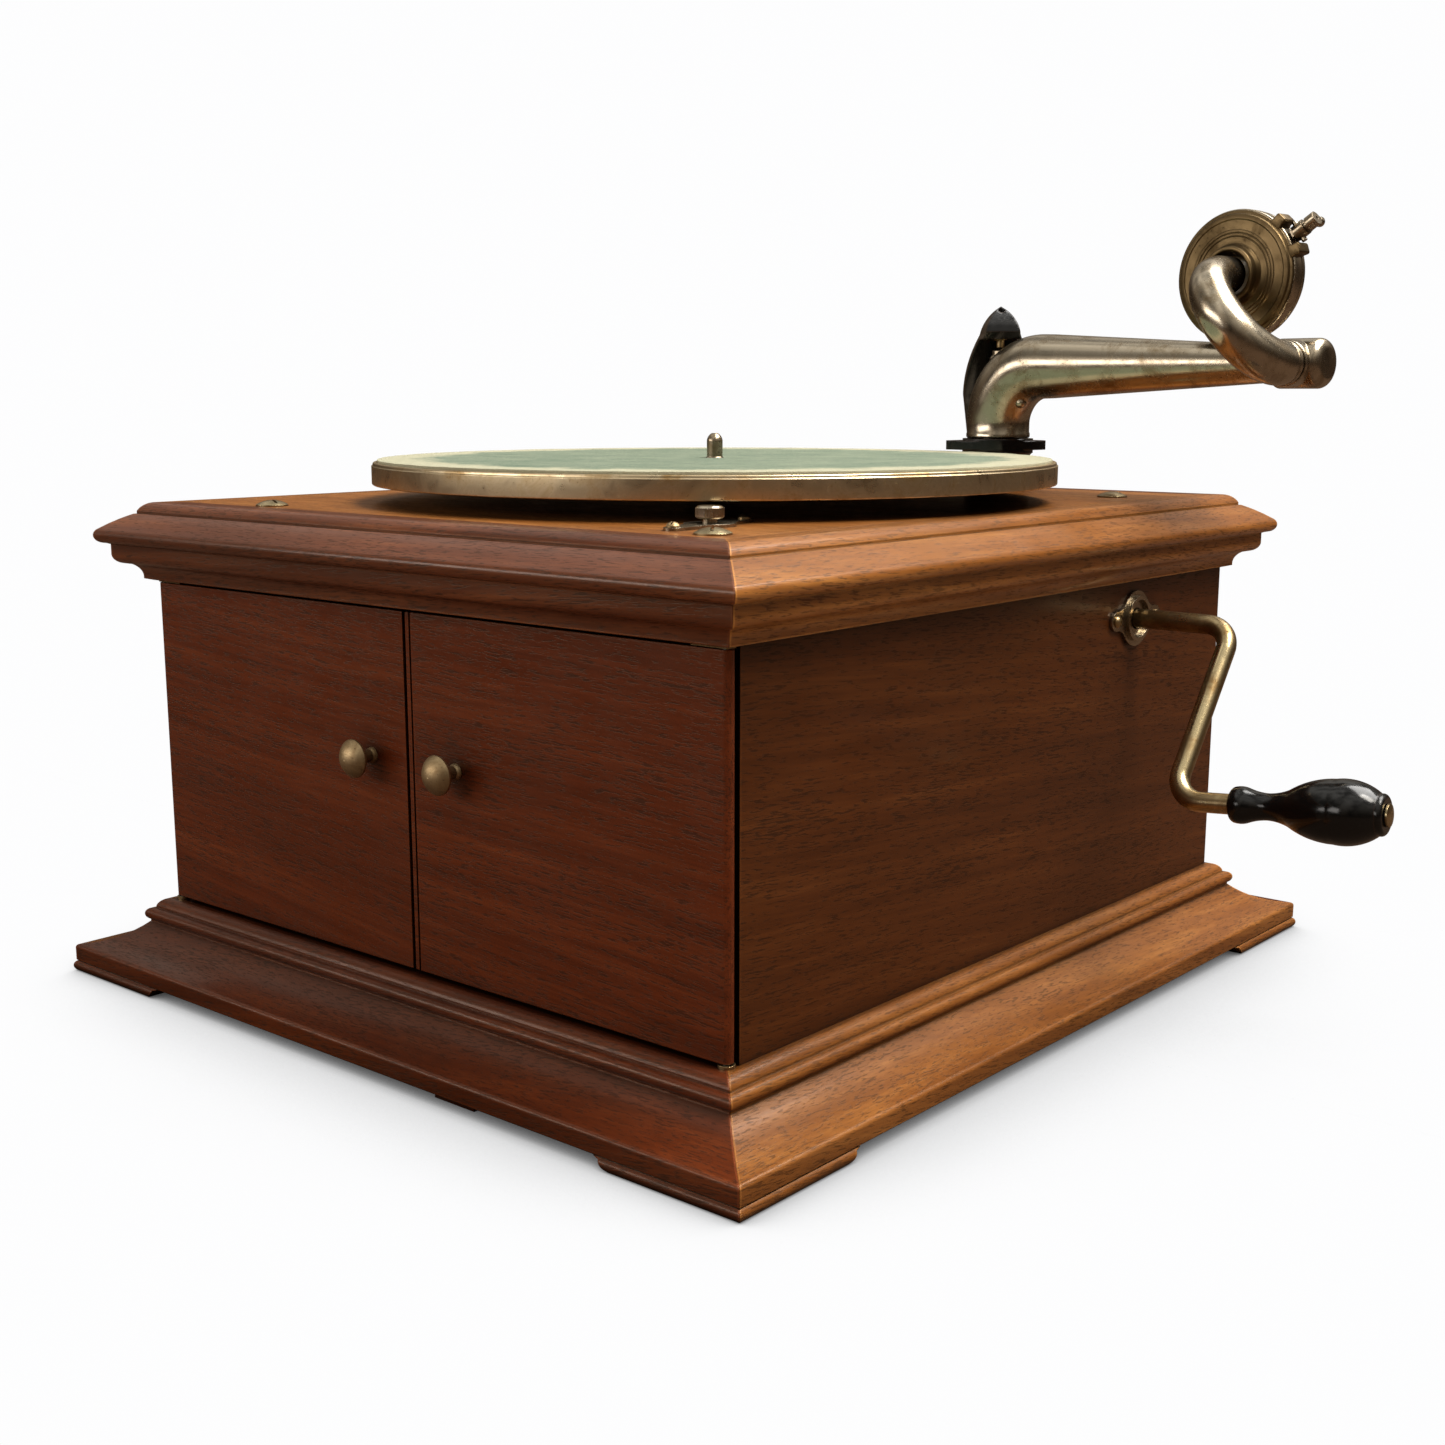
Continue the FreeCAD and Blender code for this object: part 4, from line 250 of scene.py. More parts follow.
def raw_wood(name, axis):
    """Plain stained boards without varnish, with painted shade in their recesses."""
    s = Shader(name)
    figure = s.noise(s.stretch(s.place, grain_scale(axis, 3, 70)), detail=5, roughness=0.6)
    fibre = s.noise(s.stretch(s.place, grain_scale(axis, 40, 1000)), detail=2)
    colour = s.ramp(figure, [(0.3, (0.105, 0.044, 0.015)), (0.7, (0.20, 0.094, 0.034))])
    colour = s.mix(s.remap(fibre, 0.4, 0.7, 0.0, 0.5), colour, (0.065, 0.026, 0.009))
    normal = s.bump(fibre, 0.3, 0.2 * MM)
    # Painted shade: ambient occlusion darkens the boards towards near black where surfaces crowd together.
    grime_and_shade = s.remap(s.recess(16 * MM), 0.30, 0.88, 0.80, 0.0)
    colour = s.mix(grime_and_shade, colour, (0.012, 0.006, 0.003))
    return s.finish(Base_Color=colour, Roughness=0.62, Normal=normal)


def aged_metal(name, bright, tarnish, share=0.5, roughness=(0.2, 0.42), pits=0.5, axis="z"):
    """Old plating or brass: tarnish clouds, small pits, fine rubbing marks, dirt in corners."""
    s = Shader(name)
    cloud = s.noise(s.place, scale=70, detail=5, roughness=0.65, distortion=0.6)
    speck = s.noise(s.place, scale=900, detail=2)
    marks = s.noise(s.stretch(s.place, grain_scale(axis, 2500, 60)), detail=2)
    worn = s.remap(cloud, 0.62 - 0.3 * share, 0.86 - 0.3 * share, 0.0, 1.0)
    colour = s.mix(worn, bright, tarnish)
    pit = s.remap(speck, 0.62, 0.72)
    pit = s.sum("MULTIPLY", pit, s.remap(cloud, 0.42, 0.62))
    dark = tuple(c * 0.35 for c in tarnish)
    colour = s.mix(s.sum("MULTIPLY", pit, pits), colour, dark)
    grime_and_shade = s.remap(s.recess(6 * MM), 0.2, 0.8, 0.7, 0.0)
    colour = s.mix(grime_and_shade, colour, dark)
    rough = s.remap(cloud, 0.3, 0.7, *roughness)
    rough = s.sum("ADD", rough, s.sum("MULTIPLY", pit, 0.25))
    normal = s.bump(marks, 0.05, 0.1 * MM, s.soft_edges(0.3 * MM))
    normal = s.bump(s.sum("SUBTRACT", 1.0, pit), 0.25 * pits, 0.12 * MM, normal)
    return s.finish(Base_Color=colour, Metallic=1.0, Roughness=rough, Normal=normal)


def cast_metal(name, colour, roughness=0.6):
    """Rough cast or blackened metal."""
    s = Shader(name)
    lumps = s.noise(s.place, scale=600, detail=4, roughness=0.7)
    stain = s.noise(s.place, scale=40, detail=3)
    shade = s.mix(stain, tuple(c * 0.6 for c in colour), tuple(c * 1.3 for c in colour))
    normal = s.bump(lumps, 0.3, 0.3 * MM)
    return s.finish(Base_Color=shade, Metallic=0.7, Roughness=roughness, Normal=normal)


def gloss_black(name, brown=(0.05, 0.022, 0.012)):
    """Black enamel or ebonised wood under a hard gloss, with dust and rubbed brown edges."""
    s = Shader(name)
    dust = s.noise(s.place, scale=260, detail=5, roughness=0.7)
    ripple = s.noise(s.place, scale=55, detail=2)
    colour = s.mix(s.remap(dust, 0.55, 0.8, 0.0, 0.2), (0.003, 0.003, 0.003), (0.02, 0.018, 0.016))
    colour = s.mix(s.sum("MULTIPLY", s.edge(0.9 * MM), 0.6), colour, brown)
    rough = s.remap(dust, 0.35, 0.75, 0.09, 0.24)
    return s.finish(
        Base_Color=colour,
        Roughness=rough,
        Normal=s.bump(ripple, 0.08, 0.4 * MM, s.soft_edges(1.2 * MM)),
        Coat_Weight=0.12,
        Coat_Roughness=0.06,
        Specular_IOR_Level=0.3,
    )


def faded_felt(name, centre, radius):
    """Green felt bleached towards its rim, with worn patches and a short nap."""
    s = Shader(name)
    offset = s.add("VectorMath", {0: s.place, 1: centre}, operation="SUBTRACT").outputs["Vector"]
    flat = s.stretch(offset, (1, 1, 0))
    reach = s.add("VectorMath", {0: flat}, operation="LENGTH").outputs["Value"]
    patch = s.noise(s.place, scale=45, detail=8, roughness=0.75)
    nap = s.noise(s.place, scale=1700, detail=3, roughness=0.7)
    fibres = s.noise(s.stretch(s.place, (900, 2600, 900)), detail=2)
    green = s.mix(s.remap(patch, 0.30, 0.70), (0.115, 0.160, 0.118), (0.245, 0.278, 0.203))
    ragged = s.sum("ADD", reach, s.remap(patch, 0.3, 0.7, -0.010, 0.010))
    bleached = s.remap(ragged, radius * 0.83, radius * 0.90)
    colour = s.mix(bleached, green, (0.44, 0.42, 0.30))
    colour = s.mix(s.remap(nap, 0.35, 0.7, 0.35, 0.0), colour, (0.05, 0.07, 0.05))
    colour = s.mix(s.remap(fibres, 0.58, 0.72, 0.0, 0.45), colour, (0.46, 0.47, 0.36))
    return s.finish(
        Base_Color=colour,
        Roughness=0.95,
        Normal=s.bump(nap, 0.7, 0.5 * MM),
        Specular_IOR_Level=0.1,
    )


def mica(name):
    s = Shader(name)
    layers = s.noise(s.place, scale=220, detail=5, distortion=1.5)
    colour = s.mix(layers, (0.55, 0.48, 0.34), (0.85, 0.82, 0.72))
    return s.finish(
        Base_Color=colour,
        Roughness=s.remap(layers, 0.3, 0.7, 0.12, 0.3),
        Normal=s.bump(layers, 0.1, 0.1 * MM),
        Transmission_Weight=0.35,
    )


def old_rubber(name):
    s = Shader(name)
    bloom = s.noise(s.place, scale=300, detail=4)
    colour = s.mix(bloom, (0.03, 0.026, 0.022), (0.10, 0.085, 0.07))
    return s.finish(Base_Color=colour, Roughness=0.8, Normal=s.bump(bloom, 0.3, 0.2 * MM))


# ---------------------------------------------------------------- mesh building

def axes(origin, up, forward):
    """Local frame at origin: its Z along up, its X as near as it can be to forward."""
    z = Vector(up).normalized()
    x = Vector(forward)
    x = (x - z * x.dot(z)).normalized()
    turned = Matrix((x, z.cross(x), z)).transposed().to_4x4()
    turned.translation = Vector(origin)
    return turned


def rounded(corners, closed=True, steps=4):
    """Fillet a polyline. Each corner is (x, y) or (x, y, fillet radius)."""
    result = []
    count = len(corners)
    for index, corner in enumerate(corners):
        point = Vector(corner[:2])
        at_end = not closed and index in (0, count - 1)
        if len(corner) == 2 or at_end:
            result.append(tuple(point))
            continue
        back = Vector(corners[index - 1][:2]) - point
        ahead = Vector(corners[(index + 1) % count][:2]) - point
        half = back.angle(ahead) / 2
        reach = min(corner[2] / math.tan(half), 0.49 * back.length, 0.49 * ahead.length)
        start = point + back.normalized() * reach
        finish = point + ahead.normalized() * reach
        for step in range(steps + 1):
            t = step / steps
            bend = start * (1 - t) ** 2 + point * (2 * t * (1 - t)) + finish * t ** 2
            result.append(tuple(bend))
    return result


def bridge(form, rings, around=True):
    """Join rings of vertices with quads."""
    for first, second in zip(rings, rings[1:]):
        count = len(first)
        for index in range(count if around else count - 1):
            following = (index + 1) % count
            form.faces.new((first[index], first[following], second[following], second[index]))


def add_lathe(form, profile, matrix, segments=128):
    """Turn a closed (radius, height) outline about local Z; radius 0 makes a pole."""
    rings = []
    for radius, height in profile:
        if radius < 1e-7:
            rings.append([form.verts.new(matrix @ Vector((0, 0, height)))])
            continue
        ring = []
        for index in range(segments):
            angle = 2 * math.pi * index / segments
            spot = Vector((radius * math.cos(angle), radius * math.sin(angle), height))
            ring.append(form.verts.new(matrix @ spot))
        rings.append(ring)
    pairs = list(zip(rings, rings[1:]))
    if len(rings[0]) > 1 and len(rings[-1]) > 1:
        pairs.append((rings[-1], rings[0]))
    for first, second in pairs:
        if len(first) == 1 and len(second) == 1:
            continue
        for index in range(segments):
            following = (index + 1) % segments
            if len(first) == 1:
                form.faces.new((first[0], second[following], second[index]))
            elif len(second) == 1:
                form.faces.new((first[index], first[following], second[0]))
            else:
                form.faces.new((first[index], first[following], second[following], second[index]))


def add_tube(form, path, radii, segments=64):
    """Sweep a circle along a path, with flat closed ends."""
    tangents = []
    for index in range(len(path)):
        before = path[max(index - 1, 0)]
        after = path[min(index + 1, len(path) - 1)]
        tangents.append((after - before).normalized())
    side = tangents[0].orthogonal().normalized()
    rings = []
    for point, tangent, radius in zip(path, tangents, radii):
        side = (side - tangent * side.dot(tangent)).normalized()
        other = tangent.cross(side)
        ring = []
        for index in range(segments):
            angle = 2 * math.pi * index / segments
            offset = side * math.cos(angle) + other * math.sin(angle)
            ring.append(form.verts.new(point + offset * radius))
        rings.append(ring)
    bridge(form, rings)
    form.faces.new(rings[0])
    form.faces.new(list(reversed(rings[-1])))


def add_slab(form, outline, matrix, low, high, edge=0.0, steps=3):
    """Raise a flat outline from low to high, with rounded rims of the given radius."""
    centre = sum((Vector(point) for point in outline), Vector((0, 0))) / len(outline)
    levels = []
    for step in range(steps + 1):
        angle = math.pi / 2 * (1 - step / steps)
        levels.append((low + edge * (1 - math.sin(angle)), edge * (1 - math.cos(angle))))
    levels += [(high + low - height, inset) for height, inset in reversed(levels)]
    rings = []
    for height, inset in levels:
        ring = []
        for point in outline:
            arm = Vector(point) - centre
            spot = centre + arm * (1 - inset / arm.length)
            ring.append(form.verts.new(matrix @ Vector((spot.x, spot.y, height))))
        rings.append(ring)
    bridge(form, rings)
    form.faces.new(list(reversed(rings[0])))
    form.faces.new(rings[-1])


def dent(form, depth, size, detail=2):
    """Push vertices in and out a little along their normals, as handling does."""
    form.normal_update()
    for vertex in form.verts:
        push = noise.fractal(vertex.co / size, 1.0, 2.0, detail)
        vertex.co += vertex.normal * push * depth


def piece(name, form, material, body, *replaced, angle=35):
    """Make an object of a finished form, ride it on its body and stand it for CAD nodes."""
    bmesh.ops.remove_doubles(form, verts=form.verts, dist=1e-7)
    bmesh.ops.recalc_face_normals(form, faces=form.faces)
    mesh = bpy.data.meshes.new(name)
    form.to_mesh(mesh)
    form.free()
    mesh.shade_smooth()
    mesh.set_sharp_from_angle(angle=math.radians(angle))
    for entry in material if isinstance(material, tuple) else (material,):
        mesh.materials.append(entry)
    item = bpy.data.objects.new(name, mesh)
    bpy.context.scene.collection.objects.link(item)
    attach(item, body)
    if replaced:
        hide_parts(*replaced)
    return item


# ---------------------------------------------------------------- pieces

def turntable():
    """The pressed disc: flat top, upright rim band with a small lip, hollow under."""
    low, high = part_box("platter")
    centre = (low + high) / 2
    radius = (high.x - low.x) / 2
    top = high.z
    rim = top - RIM_HEIGHT
    bore = SHAFT_RADIUS
    profile = rounded([
        (bore, low.z),
        (13 * MM, low.z, 0.6 * MM),
        (15 * MM, top - 2.2 * MM, 2 * MM),
        (radius - 5 * MM, top - 2.2 * MM, 2 * MM),
        (radius - 4 * MM, rim, 0.6 * MM),
        (radius, rim, 0.7 * MM),
        (radius, top - 1.5 * MM, 0.3 * MM),
        (radius - 0.5 * MM, top - 1.2 * MM, 0.2 * MM),
        (radius - 0.7 * MM, top, 0.8 * MM),
        (bore, top),
    ], steps=6)
    form = bmesh.new()
    add_lathe(form, profile, Matrix.Translation((centre.x, centre.y, 0)), segments=288)
    # Faces under the disc take the second material, near black: partly the platter's own black underside, partly
    # painted shade for the dark gap between platter and deck.
    for face in form.faces:
        spot = face.calc_center_median() - Vector((centre.x, centre.y, 0))
        under = spot.z < top - 1.5 * MM and spot.xy.length < radius - 2 * MM
        face.material_index = 1 if under else 0
    dent(form, 0.07 * MM, 22 * MM)
    return form


def felt_disc():
    low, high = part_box("turntable_felt")
    centre = (low + high) / 2
    radius = (high.x - low.x) / 2
    hole = SHAFT_RADIUS + 0.2 * MM
    rings = 90
    top = [(hole + (radius - hole) * index / rings, high.z) for index in range(rings + 1)]
    edge = [(radius + 0.1 * MM, high.z - 0.35 * MM), (radius, low.z)]
    form = bmesh.new()
    place = Matrix.Translation((centre.x, centre.y, 0))
    add_lathe(form, top + edge + [(hole, low.z)], place, segments=256)
    for vertex in form.verts:
        if vertex.co.z > low.z + 0.4 * MM:
            waves = noise.fractal(vertex.co / (18 * MM), 1.0, 2.0, 3)
            fluff = noise.noise(vertex.co / (1.6 * MM))
            vertex.co.z += 0.10 * MM * waves + 0.07 * MM * fluff - 0.15 * MM
    return form


def arm_axes():
    """Frame of the tone arm: origin on its swing axis at the deck, X along the arm."""
    swing = Vector(joints["arm_swing"]["pos_m"])
    neck = Vector(joints["soundbox_flip"]["pos_m"])
    side = Vector(joints["soundbox_flip"]["axis"])
    along = Vector((0, 0, 1)).cross(side)
    if along.dot(neck - swing) < 0:
        along = -along
    return swing, neck, side, along


def tone_arm():
    """Elbow, tapered tube, socket with rounded end, side branch, and the small studs."""
    swing, neck, side, along = arm_axes()
    height = neck.z
    reach = (neck - swing).dot(along)
    offset = (neck - swing).dot(side)
    foot = swing.copy()
    path = []
    radii = []

    def station(x, z, radius):
        path.append(Vector((foot.x, foot.y, 0)) + along * x + Vector((0, 0, z)))
        radii.append(radius)

    start = BRACKET_TOP + 0.3 * MM
    column = height - ARM_BEND
    station(0, start, ARM_RADIUS - 0.9 * MM)
    station(0, start + 0.05 * MM, ARM_RADIUS - 0.2 * MM)
    station(0, start + 0.7 * MM, ARM_RADIUS + 0.35 * MM)
    station(0, start + 2.2 * MM, ARM_RADIUS + 0.35 * MM)
    station(0, start + 2.8 * MM, ARM_RADIUS)
    station(0, column - 0.4 * MM, ARM_RADIUS)
    bends = 28
    for step in range(bends + 1):
        angle = math.pi / 2 * step / bends
        swell = 0.5 * MM * math.sin(2 * angle)
        station(ARM_BEND * (1 - math.cos(angle)), column + ARM_BEND * math.sin(angle),
                ARM_RADIUS + swell)
    taper_start = ARM_BEND + 3 * MM
    taper_end = reach - 13 * MM
    for step in range(1, 41):
        share = step / 40
        x = taper_start + (taper_end - taper_start) * share
        station(x, height, ARM_RADIUS + (ARM_TIP - ARM_RADIUS) * share)
    for step in range(1, 9):
        share = step / 8
        ease = share * share * (3 - 2 * share)
        station(taper_end + 4 * MM * share, height, ARM_TIP + (SOCKET_RADIUS - ARM_TIP) * ease)
    cap = reach + 13 * MM
    station(cap - 4.5 * MM, height, SOCKET_RADIUS)
    for step in range(1, 13):
        angle = math.pi / 2 * step / 13
        station(cap - 4.5 * MM + 4.5 * MM * math.sin(angle), height,
                SOCKET_RADIUS - 4.5 * MM * (1 - math.cos(angle)) * 1.15)
    form = bmesh.new()
    add_tube(form, path, radii, segments=96)
    pin = axes((foot.x, foot.y, 0), (0, 0, 1), along)
    journal = 12.0 * MM
    nub = 2.7 * MM
    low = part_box("tonearm")[0].z
    add_lathe(form, rounded([
        (0, low),
        (journal, low, 0.5 * MM),
        (journal, start + 1 * MM),
        (0, start + 1 * MM),
    ], closed=False), pin, 96)
    stud_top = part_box("tonearm")[1].z
    stud = 4.0 * MM
    stud_place = Vector((foot.x, foot.y, 0))
    add_lathe(form, rounded([
        (0, height - 4 * MM),
        (stud + 1.5 * MM, height - 4 * MM),
        (stud + 1.2 * MM, height + 4.5 * MM, 1.5 * MM),
        (stud, height + 6 * MM, 0.4 * MM),
        (stud, stud_of_elbow(stud_top, height), 0.7 * MM),
        (0, stud_of_elbow(stud_top, height)),
    ], closed=False), Matrix.Translation(stud_place), 48)
    branch = axes(neck - side * offset, side, along)
    radius = JOINT_RADIUS
    add_lathe(form, rounded([
        (0, 0),
        (radius, 0),
        (radius, offset - 0.7 * MM, 1.0 * MM),
        (radius - 1.6 * MM, offset - 0.7 * MM, 0.3 * MM),
        (radius - 1.6 * MM, offset - 0.2 * MM),
        (radius - 2.6 * MM, offset - 0.2 * MM),
        (radius - 2.6 * MM, offset - 4 * MM),
        (0, offset - 4 * MM),
    ], closed=False), branch, 96)
    inner = Vector((foot.x, foot.y, height - 17.4 * MM)) + along * 18.2 * MM + side * 6.5 * MM
    bmesh.ops.create_uvsphere(
        form, u_segments=24, v_segments=16, radius=nub, matrix=Matrix.Translation(inner))
    return form


def stud_of_elbow(top, height):
    """The stud on the elbow stops just under the bracket's screw."""
    return min(top, height + 8.2 * MM)


def goose_neck():
    """The U-shaped tube from the arm's side branch round to the back of the soundbox."""
    _, neck, side, along = arm_axes()
    hub = soundbox_centre()
    span = hub - neck
    span -= side * span.dot(side)
    radius = span.length / 2
    leg = NECK_LEG
    path = []
    radii = []

    def station(point, size):
        path.append(point)
        radii.append(size)

    big = JOINT_RADIUS - 0.2 * MM
    small = NECK_RADIUS
    for depth, size in ((0.3, big - 1.5 * MM), (0.9, big - 1.5 * MM), (0.95, big - 0.5 * MM),
                        (1.4, big + 0.1 * MM), (2.4, big + 0.1 * MM), (2.8, big - 0.3 * MM),
                        (3.2, big - 0.3 * MM)):
        station(neck + side * depth * MM, size)
    bends = 56
    for step in range(bends + 1):
        angle = math.pi * step / bends
        share = step / bends
        swell = 0.6 * MM * math.sin(math.pi * share)
        point = neck + span.normalized() * radius * (1 - math.cos(angle))
        point += side * (leg + radius * math.sin(angle))
        ease = share * share * (3 - 2 * share)
        station(point, big + (small - big) * ease + swell)
    station(hub + side * 2 * MM, small)
    station(hub - side * 2 * MM, small)
    form = bmesh.new()
    add_tube(form, path, radii, segments=96)
    return form


def soundbox_centre():
    """Centre of the soundbox on its own axis, level with the neck joint's plane."""
    _, neck, side, _ = arm_axes()
    low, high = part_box("diaphragm")
    centre = (low + high) / 2
    return centre + side * (neck - centre).dot(side)


def needle_direction():
    low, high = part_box("needle_bar")
    _, _, side, _ = arm_axes()
    socket = Vector(mounts["needle_socket"]["axis"])
    return (socket - side * socket.dot(side)).normalized()


def soundbox():
    """Nickel case ring, bronze back plate with turned steps, dished hub and two lugs."""
    _, _, side, _ = arm_axes()
    place = axes(soundbox_centre(), side, needle_direction())
    radius = SOUNDBOX_RADIUS
    back = SOUNDBOX_BACK
    front = back - SOUNDBOX_DEPTH
    case = bmesh.new()
    add_lathe(case, rounded([
        (radius - 3.2 * MM, front, 0.4 * MM),
        (radius - 0.2 * MM, front, 0.9 * MM),
        (radius - 0.2 * MM, front + 2.2 * MM, 0.3 * MM),
        (radius - 1.0 * MM, front + 2.6 * MM, 0.3 * MM),
        (radius - 1.0 * MM, front + 3.4 * MM, 0.3 * MM),
        (radius, front + 3.8 * MM, 0.3 * MM),
        (radius, back - 2.6 * MM, 0.8 * MM),
        (radius - 3.2 * MM, back - 2.6 * MM),
    ]), place, 192)
    plate = bmesh.new()
    steps = [
        (NECK_RADIUS + 0.3 * MM, back - 2.5 * MM),
        (radius - 0.6 * MM, back - 2.5 * MM, 0.3 * MM),
        (radius - 0.6 * MM, back - 1.5 * MM, 0.5 * MM),
        (radius - 1.9 * MM, back - 1.3 * MM, 0.3 * MM),
        (radius - 2.4 * MM, back - 0.5 * MM, 0.4 * MM),
        (radius - 4.2 * MM, back - 0.1 * MM, 0.3 * MM),
        (radius - 4.7 * MM, back - 0.45 * MM, 0.2 * MM),
    ]
    for ring in (19.4, 17.9, 16.4):
        steps += [
            (ring * MM + 0.35 * MM, back - 0.35 * MM, 0.15 * MM),
            (ring * MM, back - 0.05 * MM, 0.15 * MM),
            (ring * MM - 0.9 * MM, back - 0.05 * MM, 0.15 * MM),
        ]
    steps += [
        (13.6 * MM, back + 0.1 * MM, 0.8 * MM),
        (12.7 * MM, back + 2.2 * MM, 1.4 * MM),
        (12.2 * MM, back + 5.2 * MM, 0.7 * MM),
        (10.6 * MM, back + 5.2 * MM, 0.7 * MM),
        (9.9 * MM, back + 3.4 * MM, 0.5 * MM),
        (NECK_RADIUS + 0.3 * MM, back + 0.6 * MM, 0.3 * MM),
    ]
    add_lathe(plate, rounded(steps), place, 192)
    for turn in (-LUG_ANGLE, LUG_ANGLE):
        spun = place @ Matrix.Rotation(turn, 4, "Z")
        outline = rounded([
            (radius - 1.6 * MM, -3.0 * MM, 0.4 * MM),
            (radius + 0.8 * MM, -2.4 * MM, 0.6 * MM),
            (radius + 3.6 * MM, -2.6 * MM, 1.6 * MM),
            (radius + 3.6 * MM, 2.6 * MM, 1.6 * MM),
            (radius + 0.8 * MM, 2.4 * MM, 0.6 * MM),
            (radius - 1.6 * MM, 3.0 * MM, 0.4 * MM),
        ], steps=5)
        add_slab(plate, outline, spun, front + 2.0 * MM, back - 1.2 * MM, edge=0.6 * MM)
    return case, plate


def build_pieces(metals):
    rim_and_shaded_underside = (metals["rim"], metals["black"])
    piece("turntable_disc", turntable(), rim_and_shaded_underside, "turntable", "platter", angle=40)
    low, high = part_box("turntable_felt")
    felt = faded_felt("faded_felt", (low + high) / 2, (high.x - low.x) / 2)
    piece("felt_disc", felt_disc(), felt, "turntable", "turntable_felt")
    piece("tone_arm", tone_arm(), metals["nickel"], "arm", "tonearm", angle=40)
    piece("goose_neck", goose_neck(), metals["nickel"], "soundbox", "gooseneck", angle=40)
    case, plate = soundbox()
    piece("soundbox_plate", plate, metals["bronze"], "soundbox", "soundbox_shell", angle=40)
    piece("soundbox_case", case, metals["nickel"], "soundbox", angle=40)


# ---------------------------------------------------------------- finishes

REDDISH = ((0.054, 0.0085, 0.0020), (0.118, 0.0205, 0.0050), (0.190, 0.040, 0.010))
BASE_RED = ((0.044, 0.0078, 0.0018), (0.095, 0.0180, 0.0042), (0.175, 0.040, 0.010))
BROWNER = ((0.033, 0.0075, 0.0014), (0.068, 0.0170, 0.0030), (0.112, 0.033, 0.0068))
# The two golden tones below are lighter copies of the moulding wood for the side rails: painted light standing for
# the stronger light on the right side. The deck also takes the first of them.
GOLDEN = ((0.130, 0.038, 0.007), (0.270, 0.096, 0.019), (0.420, 0.180, 0.045))
GOLDEN_LIT_BASE = ((0.105, 0.030, 0.0055), (0.215, 0.074, 0.015), (0.350, 0.145, 0.036))
CORNICE = ((0.050, 0.0110, 0.0036), (0.108, 0.0270, 0.0090), (0.215, 0.066, 0.022))


def paint(names, material):
    for name in names:
        mesh = nodes[name].data
        mesh.materials.clear()
        mesh.materials.append(material)


def paint_everything():
    rails = {"front": "x", "back": "x", "left": "y", "right": "y"}
    for index, (side, axis) in enumerate(rails.items()):
        # Side rails, picked by axis, take the lighter golden copies: painted light for the stronger light on the
        # right side.
        base, cornice = (BASE_RED, CORNICE) if axis == "x" else (GOLDEN_LIT_BASE, GOLDEN)
        paint(["base_" + side], polished_wood(
            "base_wood_" + side, axis, base, seed=1.7 * index, wear=0.6, lean=7.0))
        paint(["cornice_" + side], polished_wood(
            "cornice_wood_" + side, axis, cornice, seed=5.3 + index, wear=0.7, coat=0.3,
            shade_reach=30 * MM))
    paint(["left_door"], polished_wood("left_door_wood", "x", REDDISH, seed=11.0, lean=-5.0))
    paint(["right_door"], polished_wood("right_door_wood", "x", REDDISH, seed=13.0, lean=-3.0))
    paint(["front_header", "front_panel", "louvre_slats", "centre_foot"],
          polished_wood("frame_wood", "x", REDDISH, seed=17.0))
    paint(["left_side", "right_side"], polished_wood("side_wood", "y", BROWNER, seed=19.0))
    paint(["motor_board"], polished_wood("deck_wood", "x", GOLDEN, seed=23.0))
    paint(["back_panel", "bottom_board"], raw_wood("unpolished_wood", "x"))

    nickel = aged_metal(
        "aged_nickel", (0.43, 0.37, 0.28), (0.20, 0.140, 0.075), roughness=(0.16, 0.32))
    rim = aged_metal(
        "rubbed_rim", (0.62, 0.50, 0.32), (0.34, 0.22, 0.095), roughness=(0.24, 0.42))
    brass = aged_metal(
        "aged_brass", (0.40, 0.29, 0.15), (0.21, 0.13, 0.06), roughness=(0.28, 0.46))
    satin = aged_metal(
        "satin_brass", (0.46, 0.34, 0.19), (0.24, 0.15, 0.07), roughness=(0.40, 0.56))
    rod = aged_metal("worn_rod", (0.46, 0.37, 0.21), (0.22, 0.14, 0.06), share=0.7)
    bronze = aged_metal(
        "old_bronze", (0.135, 0.092, 0.044), (0.070, 0.045, 0.020), roughness=(0.3, 0.5))
    steel = aged_metal("oiled_steel", (0.42, 0.41, 0.39), (0.16, 0.12, 0.09))
    cut_brass = aged_metal("cut_brass", (0.72, 0.55, 0.28), (0.35, 0.22, 0.09), share=0.2)
    paint(["platter", "spindle", "speed_plate", "speed_screw", "tonearm",
           "gooseneck", "escutcheon", "needle_bar", "needle_screw"], nickel)
    paint(["left_knob", "right_knob"], satin)
    paint(["small_screws", "soundbox_shell", "arm_pivot_screw",
           "door_pivots"], brass)
    paint(["crank_rod", "deck_screws"], rod)
    paint(["left_door_pins", "right_door_pins", "winding_shaft", "spring_arbor", "mainspring",
           "governor_shaft", "governor_springs", "speed_lever", "left_cheek", "right_cheek"], steel)
    paint(["governor_wheel", "spring_barrel", "intermediate_gear", "crown_gear",
           "governor_disc"], cut_brass)
    paint(["bedplate"], cast_metal("japanned_iron", (0.05, 0.05, 0.055)))
    paint(["horn", "horn_elbow"], cast_metal("black_iron", (0.02, 0.018, 0.016)))
    paint(["governor_weights"], cast_metal("dull_lead", (0.18, 0.18, 0.19), 0.5))
    paint(["arm_bracket"], gloss_black("black_enamel"))
    paint(["crank_grip"], gloss_black("ebonised_wood"))
    paint(["diaphragm"], mica("mica"))
    paint(["gaskets"], old_rubber("old_rubber"))
    # Near black for the platter's underside: partly its own black paint, partly painted shade under the platter.
    black = cast_metal("black_underside_and_shade", (0.012, 0.011, 0.011), 0.45)
    return {"nickel": nickel, "rim": rim, "bronze": bronze, "black": black}


# ---------------------------------------------------------------- stage, light and camera

